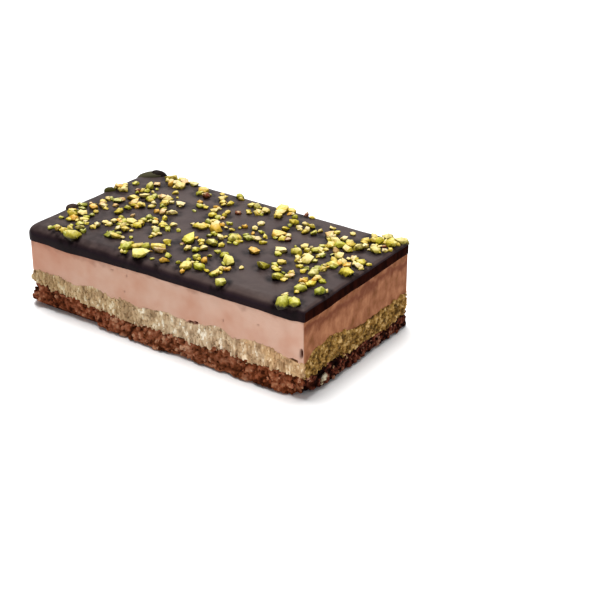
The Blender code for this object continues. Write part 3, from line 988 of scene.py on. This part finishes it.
def painted_glaze_shade(points):
    """Painted shade of the glaze: a shadow round the nuts, and shade near the old edges and the old
    end.
    """
    spots = nut_spots(random.Random(NUT_SEED))
    finder = KDTree(len(spots))
    for i, (place, _, _) in enumerate(spots):
        finder.insert(place.to_3d(), i)
    finder.balance()
    shades = []
    for point in points:
        _, nearest, away = finder.find((point.x, point.y, 0))
        painted_shade = 1 - ramp(away - spots[nearest][1] / 2, *NUT_SHADOW_ZONE)
        edge = EDGE_SHADE * (1 - ramp(edge_distances(point)[0], *EDGE_SHADE_ZONE))
        faded_sheen = FADED_SHEEN_SHADE * (1 - ramp(point.x + FADED_SHEEN_LEAN * point.y, *FADED_SHEEN_ZONE))
        shades.append(max(painted_shade, edge, faded_sheen))
    return shades


def glaze_skin(rim):
    """The glaze from its underside, round the shoulder and over the faintly uneven top."""
    rings = joint_rings(rim, glaze_border, glaze_flat, HAIRLINE, glaze_relief)
    # steep: 0 on the top and 1 on the sides, by which the glaze's painted sheen turns to painted
    # shade
    steep = [1.0] * len(rim) * len(rings)
    for step in range(SHOULDER_STEPS + 1):
        angle = math.pi / 2 * step / SHOULDER_STEPS
        steep.extend([1 - math.sin(angle)] * len(rim))
        ring = []
        for place, outward in rim:
            radius = shoulder(place)
            height = top_plane(place) - radius * (1 - math.sin(angle))
            back = radius * (1 - math.cos(angle))
            ring.append(side_point(place, outward, height, glaze_relief, -back))
        rings.append(ring)
    last = rings[-1]
    for step in range(1, TOP_STEPS):
        steep.extend([0.0] * len(rim))
        ring = []
        for point in last:
            near = Vector((point.x, point.y)) * (1 - step / TOP_STEPS)
            wave = noise.noise(near.to_3d() / TOP_WAVELENGTH)
            ring.append(Vector((*near, top_plane(near) + TOP_WAVE * step / TOP_STEPS * wave)))
        rings.append(ring)
    values = {"steep": steep, "shade": painted_glaze_shade([point for ring in rings for point in ring])}
    piece = skin("chocolate_glaze", rings, glaze_material(), values)
    piece.data.materials.append(cut_glaze_material())
    for face in piece.data.polygons:
        if face.normal.x > SLICED_FACING:
            face.material_index = 1
    return piece


def edge_distances(place):
    """How far a place on the top lies inside the old sides, the nearest, and inside the cut."""
    half_width = (CUT_WIDTH + FLARE) / 2
    back_edge = CUT_WIDTH - half_width + FLARE * from_cut(place)
    cut_edge = LENGTH / 2 - CUT_SET_BACK * (0.5 + place.y / (2 * half_width))
    old_sides = min(place.x + LENGTH / 2, place.y + half_width, back_edge - place.y)
    return old_sides, cut_edge - place.x


def top_surface(place):
    """The height of the glaze's top, which falls over the rounded old edges."""
    radius = shoulder(place)
    short = max(radius - GLAZE_OVERHANG - edge_distances(place)[0], 0)
    return top_plane(place) - radius + math.sqrt(radius**2 - short**2)


def nut_spots(draw):
    """Where the pieces of pistachio lie, how long they are and the large ones' colours: the
    large ones, then crowds of smaller ones, none on top of another."""
    spots = [(Vector((x, y)), length, colour) for x, y, length, colour in LARGE_NUTS]
    for middle_x, middle_y, spread, count in CROWDS:
        wanted = len(spots) + count
        for _ in range(count * NUT_TRIES):
            place = Vector((draw.gauss(middle_x, spread), draw.gauss(middle_y, spread)))
            apart = all((place - spot[0]).length > NUT_GAP for spot in spots)
            if apart and min(edge_distances(place)) > NUT_EDGE and len(spots) < wanted:
                spots.append((place, draw.uniform(*NUT_LENGTH), None))
    return spots


def on_glaze(place, size, turn, sunk=NUT_SUNK):
    """Size, turn and place of a piece that lies partly sunk in the glaze."""
    length, width, height = size
    spot = Matrix.Translation((place.x, place.y, top_surface(place) + height * (0.5 - sunk)))
    form = Matrix.Diagonal((length / 2, width / 2, height / 2, 1))
    return spot @ turn.to_matrix().to_4x4() @ form


def nut_matrix(draw, place, length):
    """Size, turn and place of one piece of pistachio, drawn by chance."""
    width = length * draw.uniform(*NUT_WIDTH)
    height = min(length * draw.uniform(*NUT_HEIGHT), TALLEST_NUT)
    turn = Euler((draw.gauss(0, NUT_TILT), draw.gauss(0, NUT_TILT), draw.uniform(0, math.tau)))
    return on_glaze(place, (length, width, height), turn)


# Colours of the smaller pieces, each with how often it comes
NUT_COLOURS = (
    ("ece0a0", 6),
    ("dccb64", 5),
    ("d6ca40", 4),
    ("b8bc3c", 4),
    ("dcae38", 2),
    ("f0e6c0", 4),
    ("9aa43a", 2),
    ("d8b890", 1),
    ("8a4c38", 0.4),
)
NUT_SWELL = 1.12
NUT_BROKEN = 1.7
NUT_BLOCKY = 4
DARK_NUT_BROKEN = 0.4
DARK_NUT_SUNK = 0.62
DARK_NUT_RISE = 0.75
NUT_BITS = 380
BIT_LENGTH = (0.0016, 0.0034)
BIT_SPREAD = 0.0036

# Pieces at the back edge: x, y, length, width, height, colour; and dark pieces at the old edges,
# which have their turn and lean before the colour
EDGE_NUTS = (
    (-0.0775, -0.0125, 0.0030, 0.0026, 0.0020, "8c9444"),
    (-0.0560, 0.0415, 0.0046, 0.0036, 0.0030, "d2c878"),
    (-0.0480, 0.0405, 0.0046, 0.0036, 0.0028, "e0dcae"),
    (0.0140, 0.0400, 0.0040, 0.0034, 0.0026, "e2d06c"),
    (0.0700, 0.0395, 0.0046, 0.0038, 0.0030, "e0dc9c"),
    (0.0780, 0.0385, 0.0050, 0.0040, 0.0034, "e4e0a0"),
)
DARK_EDGE_NUTS = (
    (-0.0762, 0.0388, 0.0150, 0.0076, 0.0058, 0.62, -0.20, "403c2a"),
    (-0.0726, 0.0414, 0.0096, 0.0064, 0.0074, 0.80, 0.30, "1e1612"),
    (-0.0790, -0.0165, 0.0070, 0.0050, 0.0060, 1.2, 0.0, "3c2e28"),
    (-0.0790, 0.0110, 0.0066, 0.0046, 0.0056, 0.9, 0.0, "3c3a18"),
)

# Bits of pastry in the base: place, size, colour; and half their length, width and height by size
FLAKES = (
    (0.0824, -0.0302, 0.0052, 0.0040, "d8ccb0"),
    (0.0822, -0.0318, 0.0036, 0.0028, "c8b894"),
    (0.0795, -0.0450, 0.0092, 0.0024, "c88c6c"),
    (0.0765, -0.0456, 0.0060, 0.0024, "b87050"),
    (0.0700, -0.0463, 0.0080, 0.0020, "c08060"),
    (0.0640, -0.0467, 0.0060, 0.0018, "b87858"),
    (0.0824, -0.0230, 0.0070, 0.0016, "a07c58"),
    (0.0820, -0.0120, 0.0066, 0.0016, "b08c68"),
)
FLAKE_FORM = (0.50, 0.34, 0.26)


def blocky(spot):
    """How far out a chopped piece reaches this way: rather a block than a ball."""
    total = sum(abs(c / spot.length) ** NUT_BLOCKY for c in spot)
    return total ** (-1 / NUT_BLOCKY)


def add_nut(bm, draw, matrix, colour, dark_edge=False):
    """Adds one uneven chopped piece to the mesh, of one colour, knowing its height for painted
    light and shade. Swelled by what the rounding of its edges will take, more broken than in the
    solid."""
    flesh = bm.verts.layers.float_color["flesh"]
    rise = bm.verts.layers.float["rise"]
    made = bmesh.ops.create_icosphere(bm, subdivisions=1, radius=1)["verts"]
    for vert in made:
        uneven = 1 + (draw.uniform(*NUT_UNEVEN) - 1) * (DARK_NUT_BROKEN if dark_edge else NUT_BROKEN)
        vert.co *= uneven * blocky(vert.co) * NUT_SWELL
    bmesh.ops.transform(bm, matrix=matrix, verts=made)
    highest = max(vert.co.z for vert in made)
    lowest = min(vert.co.z for vert in made)
    for vert in made:
        vert[flesh] = linear(colour)
        # rise: the point's height in the piece, for the painted light on top and painted shade
        # below
        vert[rise] = DARK_NUT_RISE if dark_edge else (vert.co.z - lowest) / (highest - lowest)


def empty_bits():
    """A mesh to add pieces to, with the layers that they fill."""
    bm = bmesh.new()
    bm.verts.layers.float_color.new("flesh")
    bm.verts.layers.float.new("rise")
    return bm


def bits_mesh(name, bits):
    """An object made of uneven pieces of one colour each."""
    bm = empty_bits()
    draw = random.Random(NUT_SEED + 2)
    for matrix, colour in bits:
        add_nut(bm, draw, matrix, colour, True)
    return keep(bm, name)


def flakes():
    """Pale bits of pastry that stick in the brownie at the cut's front corner."""
    draw = random.Random(NUT_SEED + 3)
    bits = []
    for x, y, z, size, colour in FLAKES:
        turn = Euler([draw.uniform(0, math.tau) for _ in range(3)]).to_matrix().to_4x4()
        form = Matrix.Diagonal((*[size * share for share in FLAKE_FORM], 1))
        bits.append((Matrix.Translation((x, y, z)) @ turn @ form, colour))
    return bits_mesh("flakes", bits)


def dark_edge_nuts():
    """The dark pistachio pieces at the old edges."""
    bits = []
    for x, y, length, width, height, turn, lean, colour in DARK_EDGE_NUTS:
        turned = Euler((0, lean, turn))
        form = on_glaze(Vector((x, y)), (length, width, height), turned, DARK_NUT_SUNK)
        bits.append((form, colour))
    return bits_mesh("dark_edge_nuts", bits)


def pistachios():
    """The chopped pistachios of the solid, then smaller bits between them."""
    bm = empty_bits()
    draw = random.Random(NUT_SEED)
    paint = random.Random(NUT_SEED + 1)
    shades = [shade for shade, _ in NUT_COLOURS]
    shares = [share for _, share in NUT_COLOURS]
    spots = nut_spots(draw)
    for place, length, colour in spots:
        own = colour or paint.choices(shades, shares)[0]
        add_nut(bm, draw, nut_matrix(draw, place, length), own)
    for _ in range(NUT_BITS):
        near = paint.choice(spots)[0]
        place = near + Vector((paint.gauss(0, BIT_SPREAD), paint.gauss(0, BIT_SPREAD)))
        if min(edge_distances(place)) > NUT_EDGE:
            matrix = nut_matrix(paint, place, paint.uniform(*BIT_LENGTH))
            add_nut(bm, paint, matrix, paint.choices(shades, shares)[0])
    for x, y, *size, colour in EDGE_NUTS:
        turn = Euler((0, 0, paint.uniform(0, math.tau)))
        add_nut(bm, paint, on_glaze(Vector((x, y)), size, turn), colour)
    return keep(bm, "chopped_pistachios")


def new_tree(name, sizes):
    """An empty Geometry Nodes tree with a mesh in and out, named sizes and a material."""
    tree = bpy.data.node_groups.new(name, "GeometryNodeTree")
    sockets = tree.interface
    sockets.new_socket(name="Geometry", in_out="OUTPUT", socket_type="NodeSocketGeometry")
    sockets.new_socket(name="Geometry", in_out="INPUT", socket_type="NodeSocketGeometry")
    for label, value in sizes.items():
        kind = "NodeSocketInt" if isinstance(value, int) else "NodeSocketFloat"
        sockets.new_socket(name=label, in_out="INPUT", socket_type=kind).default_value = value
    sockets.new_socket(name="Material", in_out="INPUT", socket_type="NodeSocketMaterial")
    return tree, node(tree, "NodeGroupInput").outputs


def close_tree(tree, entry, geometry):
    """Ends the tree in real geometry with its material."""
    real = node(tree, "GeometryNodeRealizeInstances", {"Geometry": geometry})
    finish = {"Geometry": real, "Material": entry["Material"]}
    node(tree, "NodeGroupOutput", {0: node(tree, "GeometryNodeSetMaterial", finish)})
    return tree


def laid(tree, points, shape, turn, size, marks):
    """A copy of the shape on each point, made real, with its own number for each mark."""
    copies = {"Points": points, "Instance": shape, "Rotation": turn, "Scale": size}
    made = node(tree, "GeometryNodeInstanceOnPoints", copies)
    for label, value in marks.items():
        mark = {"Geometry": made, "Name": label, "Value": value}
        made = node(tree, "GeometryNodeStoreNamedAttribute", mark, domain="INSTANCE")
    return node(tree, "GeometryNodeRealizeInstances", {"Geometry": made})


def shaken(tree, geometry, drift, amount):
    """The geometry with each point moved by the noise's colour, by half the amount at most."""
    level = {0: drift.outputs["Color"], 1: (0.5, 0.5, 0.5)}
    centred = node(tree, "ShaderNodeVectorMath", level, operation="SUBTRACT")
    scaled = {"Vector": centred, "Scale": amount}
    shift = node(tree, "ShaderNodeVectorMath", scaled, operation="SCALE")
    return node(tree, "GeometryNodeSetPosition", {"Geometry": geometry, "Offset": shift})


def thread_tree():
    """Threads that lie on a surface: short wriggling tubes that lean to both sides of upright."""
    sizes = {
        "Density": 240000.0,
        "Seed": 3,
        "Shortest": 0.0012,
        "Longest": 0.0032,
        "Thinnest": 0.00050,
        "Thickest": 0.00090,
        "Over": 0.0010,
        "Lean": 0.35,
        "Wriggle": 0.0014,
        "Raise": -0.0002,
        "Cut": 0.0,
    }
    tree, entry = new_tree("kataifi_threads", sizes)
    scatter = {"Mesh": entry["Geometry"], "Density": entry["Density"], "Seed": entry["Seed"]}
    spots = node(tree, "GeometryNodeDistributePointsOnFaces", scatter).outputs
    push = {"Vector": spots["Normal"], "Scale": entry["Raise"]}
    raised = node(tree, "ShaderNodeVectorMath", push, operation="SCALE")
    ground = node(tree, "GeometryNodeSetPosition", {"Geometry": spots["Points"], "Offset": raised})
    left = node(tree, "ShaderNodeMath", {0: entry["Lean"], 1: -1.0}, operation="MULTIPLY")
    lean = node(tree, "FunctionNodeRandomValue", {2: left, 3: entry["Lean"], "Seed": 11})
    leaning = {"Axis": spots["Normal"], "Angle": lean}
    turn = node(tree, "FunctionNodeAxisAngleToRotation", leaning)
    lengths = {2: entry["Shortest"], 3: entry["Longest"], "Seed": 12}
    wish = node(tree, "FunctionNodeRandomValue", lengths)
    room = node(tree, "GeometryNodeInputNamedAttribute", {"Name": "room"})
    longest = weighted(tree, entry["Over"], (room, 2.0))
    length = node(tree, "ShaderNodeMath", {0: wish, 1: longest}, operation="MINIMUM")
    size = node(tree, "ShaderNodeCombineXYZ", {"X": 1.0, "Y": 1.0, "Z": length})
    ends = {"Start": (0, 0, -0.5), "End": (0, 0, 0.5)}
    line = node(tree, "GeometryNodeCurvePrimitiveLine", ends)
    bent = node(tree, "GeometryNodeResampleCurve", {"Curve": line, "Count": 6})
    girths = {2: entry["Thinnest"], 3: entry["Thickest"], "Seed": 13}
    marks = {
        "tint": node(tree, "FunctionNodeRandomValue", {2: 0.0, 3: 1.0, "Seed": 14}),
        "girth": node(tree, "FunctionNodeRandomValue", girths),
        "cut": entry["Cut"],
    }
    real = laid(tree, ground, bent, turn, size, marks)
    # Each strand's own tint takes it to another part of the noise, so no two wriggle alike
    tint = node(tree, "GeometryNodeInputNamedAttribute", {"Name": "tint"})
    strand = node(tree, "ShaderNodeMath", {0: tint, 1: 90.0}, operation="MULTIPLY")
    winding = {"W": strand, "Scale": THREAD_WRIGGLE, "Detail": 1.0}
    drift = node(tree, "ShaderNodeTexNoise", winding, noise_dimensions="4D")
    wriggled = shaken(tree, real, drift, entry["Wriggle"])
    ring = node(tree, "GeometryNodeCurvePrimitiveCircle", {"Resolution": 5, "Radius": 1.0})
    girth = node(tree, "GeometryNodeInputNamedAttribute", {"Name": "girth"})
    around = {"Curve": wriggled, "Profile Curve": ring, "Scale": girth, "Fill Caps": True}
    return close_tree(tree, entry, node(tree, "GeometryNodeCurveToMesh", around))


def crumb_tree():
    """Crumbs that stick to a surface: uneven pebbles of many sizes, turned as far as asked."""
    sizes = {
        "Density": 150000.0,
        "Seed": 5,
        "Smallest": 0.00035,
        "Largest": 0.0012,
        "Unevenness": 0.0017,
        "Lowest": 0.0001,
        "Cut": 0.0,
        "Tall": 1.0,
        "Turned": 1.0,
    }
    tree, entry = new_tree("stuck_crumbs", sizes)
    scatter = {"Mesh": entry["Geometry"], "Density": entry["Density"], "Seed": entry["Seed"]}
    spots = node(tree, "GeometryNodeDistributePointsOnFaces", scatter).outputs
    all_round = {0: (-math.pi, -math.pi, -math.pi), 1: (math.pi, math.pi, math.pi), "Seed": 21}
    angles = node(tree, "FunctionNodeRandomValue", all_round, data_type="FLOAT_VECTOR")
    part = {"Vector": angles, "Scale": entry["Turned"]}
    turned = node(tree, "ShaderNodeVectorMath", part, operation="SCALE")
    turn = node(tree, "FunctionNodeEulerToRotation", {"Euler": turned})
    draw = node(tree, "FunctionNodeRandomValue", {2: 0.0, 3: 1.0, "Seed": 22})
    small = node(tree, "ShaderNodeMath", {0: draw, 1: 2.0}, operation="POWER")
    span = {"Value": small, "To Min": entry["Smallest"], "To Max": entry["Largest"]}
    size = node(tree, "ShaderNodeMapRange", span)
    uneven = {0: (0.7, 0.7, 0.7), 1: (1.2, 1.2, 1.2), "Seed": 23}
    form = node(tree, "FunctionNodeRandomValue", uneven, data_type="FLOAT_VECTOR")
    upright = node(tree, "ShaderNodeCombineXYZ", {"X": 1.0, "Y": 1.0, "Z": entry["Tall"]})
    tall = node(tree, "ShaderNodeVectorMath", {0: form, 1: upright}, operation="MULTIPLY")
    scaled = node(tree, "ShaderNodeVectorMath", {"Vector": tall, "Scale": size}, operation="SCALE")
    pebble = node(tree, "GeometryNodeMeshIcoSphere", {"Radius": 1.0, "Subdivisions": 2})
    tint = node(tree, "FunctionNodeRandomValue", {2: -1.0, 3: 1.0, "Seed": 24})
    marks = {"tint": tint, "cut": entry["Cut"]}
    real = laid(tree, spots["Points"], pebble, turn, scaled, marks)
    rough = node(tree, "ShaderNodeTexNoise", {"Scale": CRUMB_BREAKS, "Detail": 2.0})
    broken = shaken(tree, real, rough, entry["Unevenness"])
    place = node(tree, "GeometryNodeInputPosition")
    under = node(tree, "ShaderNodeCombineXYZ", {"X": -1.0, "Y": -1.0, "Z": entry["Lowest"]})
    lifted = node(tree, "ShaderNodeVectorMath", {0: place, 1: under}, operation="MAXIMUM")
    resting = node(tree, "GeometryNodeSetPosition", {"Geometry": broken, "Position": lifted})
    return close_tree(tree, entry, resting)


def nut_tree():
    """Finishes the pebbles as broken kernels: half-rounded lumps with a little unevenness."""
    tree, entry = new_tree("broken_kernels", {"Level": 1, "Crease": 1.0, "Unevenness": 0.0012})
    pebble = {"Mesh": entry["Geometry"], "Level": entry["Level"], "Edge Crease": entry["Crease"]}
    finer = node(tree, "GeometryNodeSubdivisionSurface", pebble)
    rough = node(tree, "ShaderNodeTexNoise", {"Scale": NUT_BREAKS, "Detail": 2.0})
    return close_tree(tree, entry, shaken(tree, finer, rough, entry["Unevenness"]))


# What each piece is grown with, where it isn't the tree's own. Densities are for a square metre
GROWTH = {
    "kataifi_cut": {
        "Density": 520000.0,
        "Seed": 4,
        "Longest": 0.0030,
        "Thickest": 0.00095,
        "Over": 0.0008,
        "Lean": 1.5,
        "Wriggle": 0.0022,
        "Raise": -0.0001,
        "Cut": 1.0,
    },
    "kataifi_clumps": {
        "Density": 110000.0,
        "Seed": 7,
        "Smallest": 0.0005,
        "Largest": 0.0014,
        "Unevenness": 0.0005,
        "Tall": 1.7,
        "Turned": 0.10,
    },
    "kataifi_cut_clumps": {
        "Density": 130000.0,
        "Seed": 8,
        "Smallest": 0.0004,
        "Largest": 0.0018,
        "Unevenness": 0.0010,
        "Cut": 1.0,
    },
    "brownie_cut_crumbs": {"Seed": 6, "Largest": 0.0011, "Cut": 1.0},
    "pastry_flakes": {"Crease": 0.3, "Unevenness": 0.0010},
    "dark_pistachios": {"Level": 2, "Crease": 0.1, "Unevenness": 0.0006},
}


def grow(name, surface, tree, material):
    """Runs a tree on a surface and keeps what it makes as a plain smooth mesh."""
    own = GROWTH.get(name, {})
    modifier = surface.modifiers.new("grow", "NODES")
    modifier.node_group = tree
    for socket in tree.interface.items_tree:
        if socket.in_out == "INPUT" and socket.name in own:
            modifier[socket.identifier] = own[socket.name]
        if socket.name == "Material":
            modifier[socket.identifier] = material
    graph = bpy.context.evaluated_depsgraph_get()
    mesh = bpy.data.meshes.new_from_object(
        surface.evaluated_get(graph), preserve_all_data_layers=True, depsgraph=graph
    )
    surface.modifiers.remove(modifier)
    mesh.name = name
    mesh.shade_smooth()
    return link(name, mesh)


def side_surface(rim, low, high, relief, wanted):
    """The bare side of a layer between two borders, where wanted says so, to grow things on.
    Each point knows its room: how far the nearer border is."""
    points = []
    room = []
    faces = []
    for place, outward in rim:
        thick = high(place) - low(place)
        for row in range(SIDE_ROWS + 1):
            height = low(place) + thick * row / SIDE_ROWS
            points.append(side_point(place, outward, height, relief))
            room.append(thick * min(row, SIDE_ROWS - row) / SIDE_ROWS)
    for i in range(len(rim)):
        j = (i + 1) % len(rim)
        if wanted(rim[i][1]) and wanted(rim[j][1]):
            for row in range(SIDE_ROWS):
                a = i * (SIDE_ROWS + 1) + row
                b = j * (SIDE_ROWS + 1) + row
                faces.append((a, b, b + 1, a + 1))
    return link("side_surface", marked_mesh("side_surface", points, faces, {"room": room}))


def on_cut(outward):
    return outward.x > CUT_FACING[1]


def off_cut(outward):
    return outward.x < CUT_FACING[1]


def crumbs_foot(place):
    """Where the brownie's crumbs start, higher where its lower edge is broken away."""
    return CRUMBS_FOOT + FRONT_CRUMBS_LIFT * at_front_heel(place)


def crumbs_reach(place):
    """How high the brownie's crumbs reach, over its upper border."""
    more = OLD_CRUMBS_OVER * ramp(from_cut(place), *OLD_CRUMBS_ZONE)
    return base_border(place) + CRUMBS_OVER + more


def studio():
    """A plain pale floor and soft light."""
    material, tree, shader, place = surface_material("matt_white_floor")
    cloud = node(tree, "ShaderNodeTexNoise", {"Vector": place, "Scale": FLOOR_CLOUD})
    whites = ((0.0, "f2f2f2"), (1.0, "f4f4f4"))
    colour = node(tree, "ShaderNodeValToRGB", {"Fac": cloud}, stops=whites)
    tree.links.new(output(colour), shader.inputs["Base Color"])
    shader.inputs["Roughness"].default_value = 0.9
    shader.inputs["Specular IOR Level"].default_value = 0.1
    bm = bmesh.new()
    bmesh.ops.create_grid(bm, x_segments=1, y_segments=1, size=FLOOR_SIZE)
    floor = keep(bm, "floor")
    floor.data.materials.append(material)
    world = bpy.data.worlds.new("studio")
    world.use_nodes = True
    background = world.node_tree.nodes["Background"].inputs
    background["Color"].default_value = (1, 1, 1, 1)
    background["Strength"].default_value = SKY_STRENGTH
    bpy.context.scene.world = world
    overhead = bpy.data.lights.new("overhead_soft", "SUN")
    overhead.angle = OVERHEAD_ANGLE
    overhead.energy = OVERHEAD_ENERGY
    sheen = bpy.data.lights.new("back_sheen", "AREA")
    sheen.size = SHEEN_SIZE
    sheen.energy = SHEEN_ENERGY
    for light, place in ((overhead, OVERHEAD_PLACE), (sheen, SHEEN_PLACE)):
        lamp = bpy.data.objects.new(light.name, light)
        lamp.location = place
        lamp.rotation_euler = (-Vector(place)).to_track_quat("-Z", "Y").to_euler()
        bpy.context.scene.collection.objects.link(lamp)


def camera():
    """The photo's camera, worked out from the block's edges."""
    side = math.cos(CAMERA_ELEVATION)
    front = Vector((math.sin(CAMERA_AZIMUTH) * side, -math.cos(CAMERA_AZIMUTH) * side, 0))
    back = front + Vector((0, 0, math.sin(CAMERA_ELEVATION)))
    lens = bpy.data.cameras.new("view")
    lens.lens = FOCAL_LENGTH
    lens.sensor_width = SENSOR_WIDTH
    lens.clip_start = CLIP_START
    shot = bpy.data.objects.new("view", lens)
    shot.location = Vector(CAMERA_TARGET) + back * CAMERA_DISTANCE
    shot.rotation_euler = (-back).to_track_quat("-Z", "Y").to_euler()
    bpy.context.scene.collection.objects.link(shot)
    bpy.context.scene.camera = shot
    bpy.context.scene.view_settings.view_transform = "Standard"


def main():
    rim = outline(SKIN_SPACING)
    coarse = outline(SURFACE_SPACING)
    base = brownie_skin(rim)
    cream = kataifi_skin(rim)
    mousse = mousse_skin(rim)
    glaze = glaze_skin(rim)
    brownie = base.data.materials[0]
    pastry = thread_material()
    threads = thread_tree()
    crumbs = crumb_tree()
    kernels = nut_tree()
    pastry_sides = (coarse, base_border, kataifi_border, kataifi_relief)
    base_sides = (coarse, crumbs_foot, crumbs_reach, base_relief)
    old_side = side_surface(*pastry_sides, off_cut)
    cut_side = side_surface(*pastry_sides, on_cut)
    old_base = side_surface(*base_sides, off_cut)
    cut_base = side_surface(*base_sides, on_cut)
    pebbles = pistachios()
    bits = flakes()
    dark_edge = dark_edge_nuts()
    upright = grow("kataifi_sides", old_side, threads, pastry)
    tangled = grow("kataifi_cut", cut_side, threads, pastry)
    clumps = grow("kataifi_clumps", old_side, crumbs, pastry)
    cut_clumps = grow("kataifi_cut_clumps", cut_side, crumbs, pastry)
    loose = grow("brownie_crumbs", old_base, crumbs, brownie)
    cut_loose = grow("brownie_cut_crumbs", cut_base, crumbs, brownie)
    nuts = grow("pistachio_pieces", pebbles, kernels, pistachio_material())
    stuck = grow("pastry_flakes", bits, kernels, flake_material())
    dark = grow("dark_pistachios", dark_edge, kernels, dark_nut_material())
    nuts.data.set_sharp_from_angle(angle=SHARP_NUTS)
    for helper in (old_side, cut_side, old_base, cut_base, pebbles, bits, dark_edge):
        bpy.data.objects.remove(helper)
    rows = (
        (base, "base", "chocolate_brownie"),
        (loose, "base", "chocolate_brownie"),
        (cut_loose, "base", "chocolate_brownie"),
        (stuck, "base", None),
        (cream, "kataifi_layer", "kataifi_and_pistachio_cream"),
        (upright, "kataifi_layer", "kataifi_and_pistachio_cream"),
        (tangled, "kataifi_layer", "kataifi_and_pistachio_cream"),
        (clumps, "kataifi_layer", "kataifi_and_pistachio_cream"),
        (cut_clumps, "kataifi_layer", "kataifi_and_pistachio_cream"),
        (mousse, "mousse", "milk_chocolate_mousse"),
        (glaze, "glaze", "dark_chocolate_glaze"),
        (nuts, "glaze", None),
        (dark, "glaze", None),
    )
    for piece, stood_for, finish in rows:
        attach(piece, "root")
        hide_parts(stood_for)
    studio()
    camera()


main()
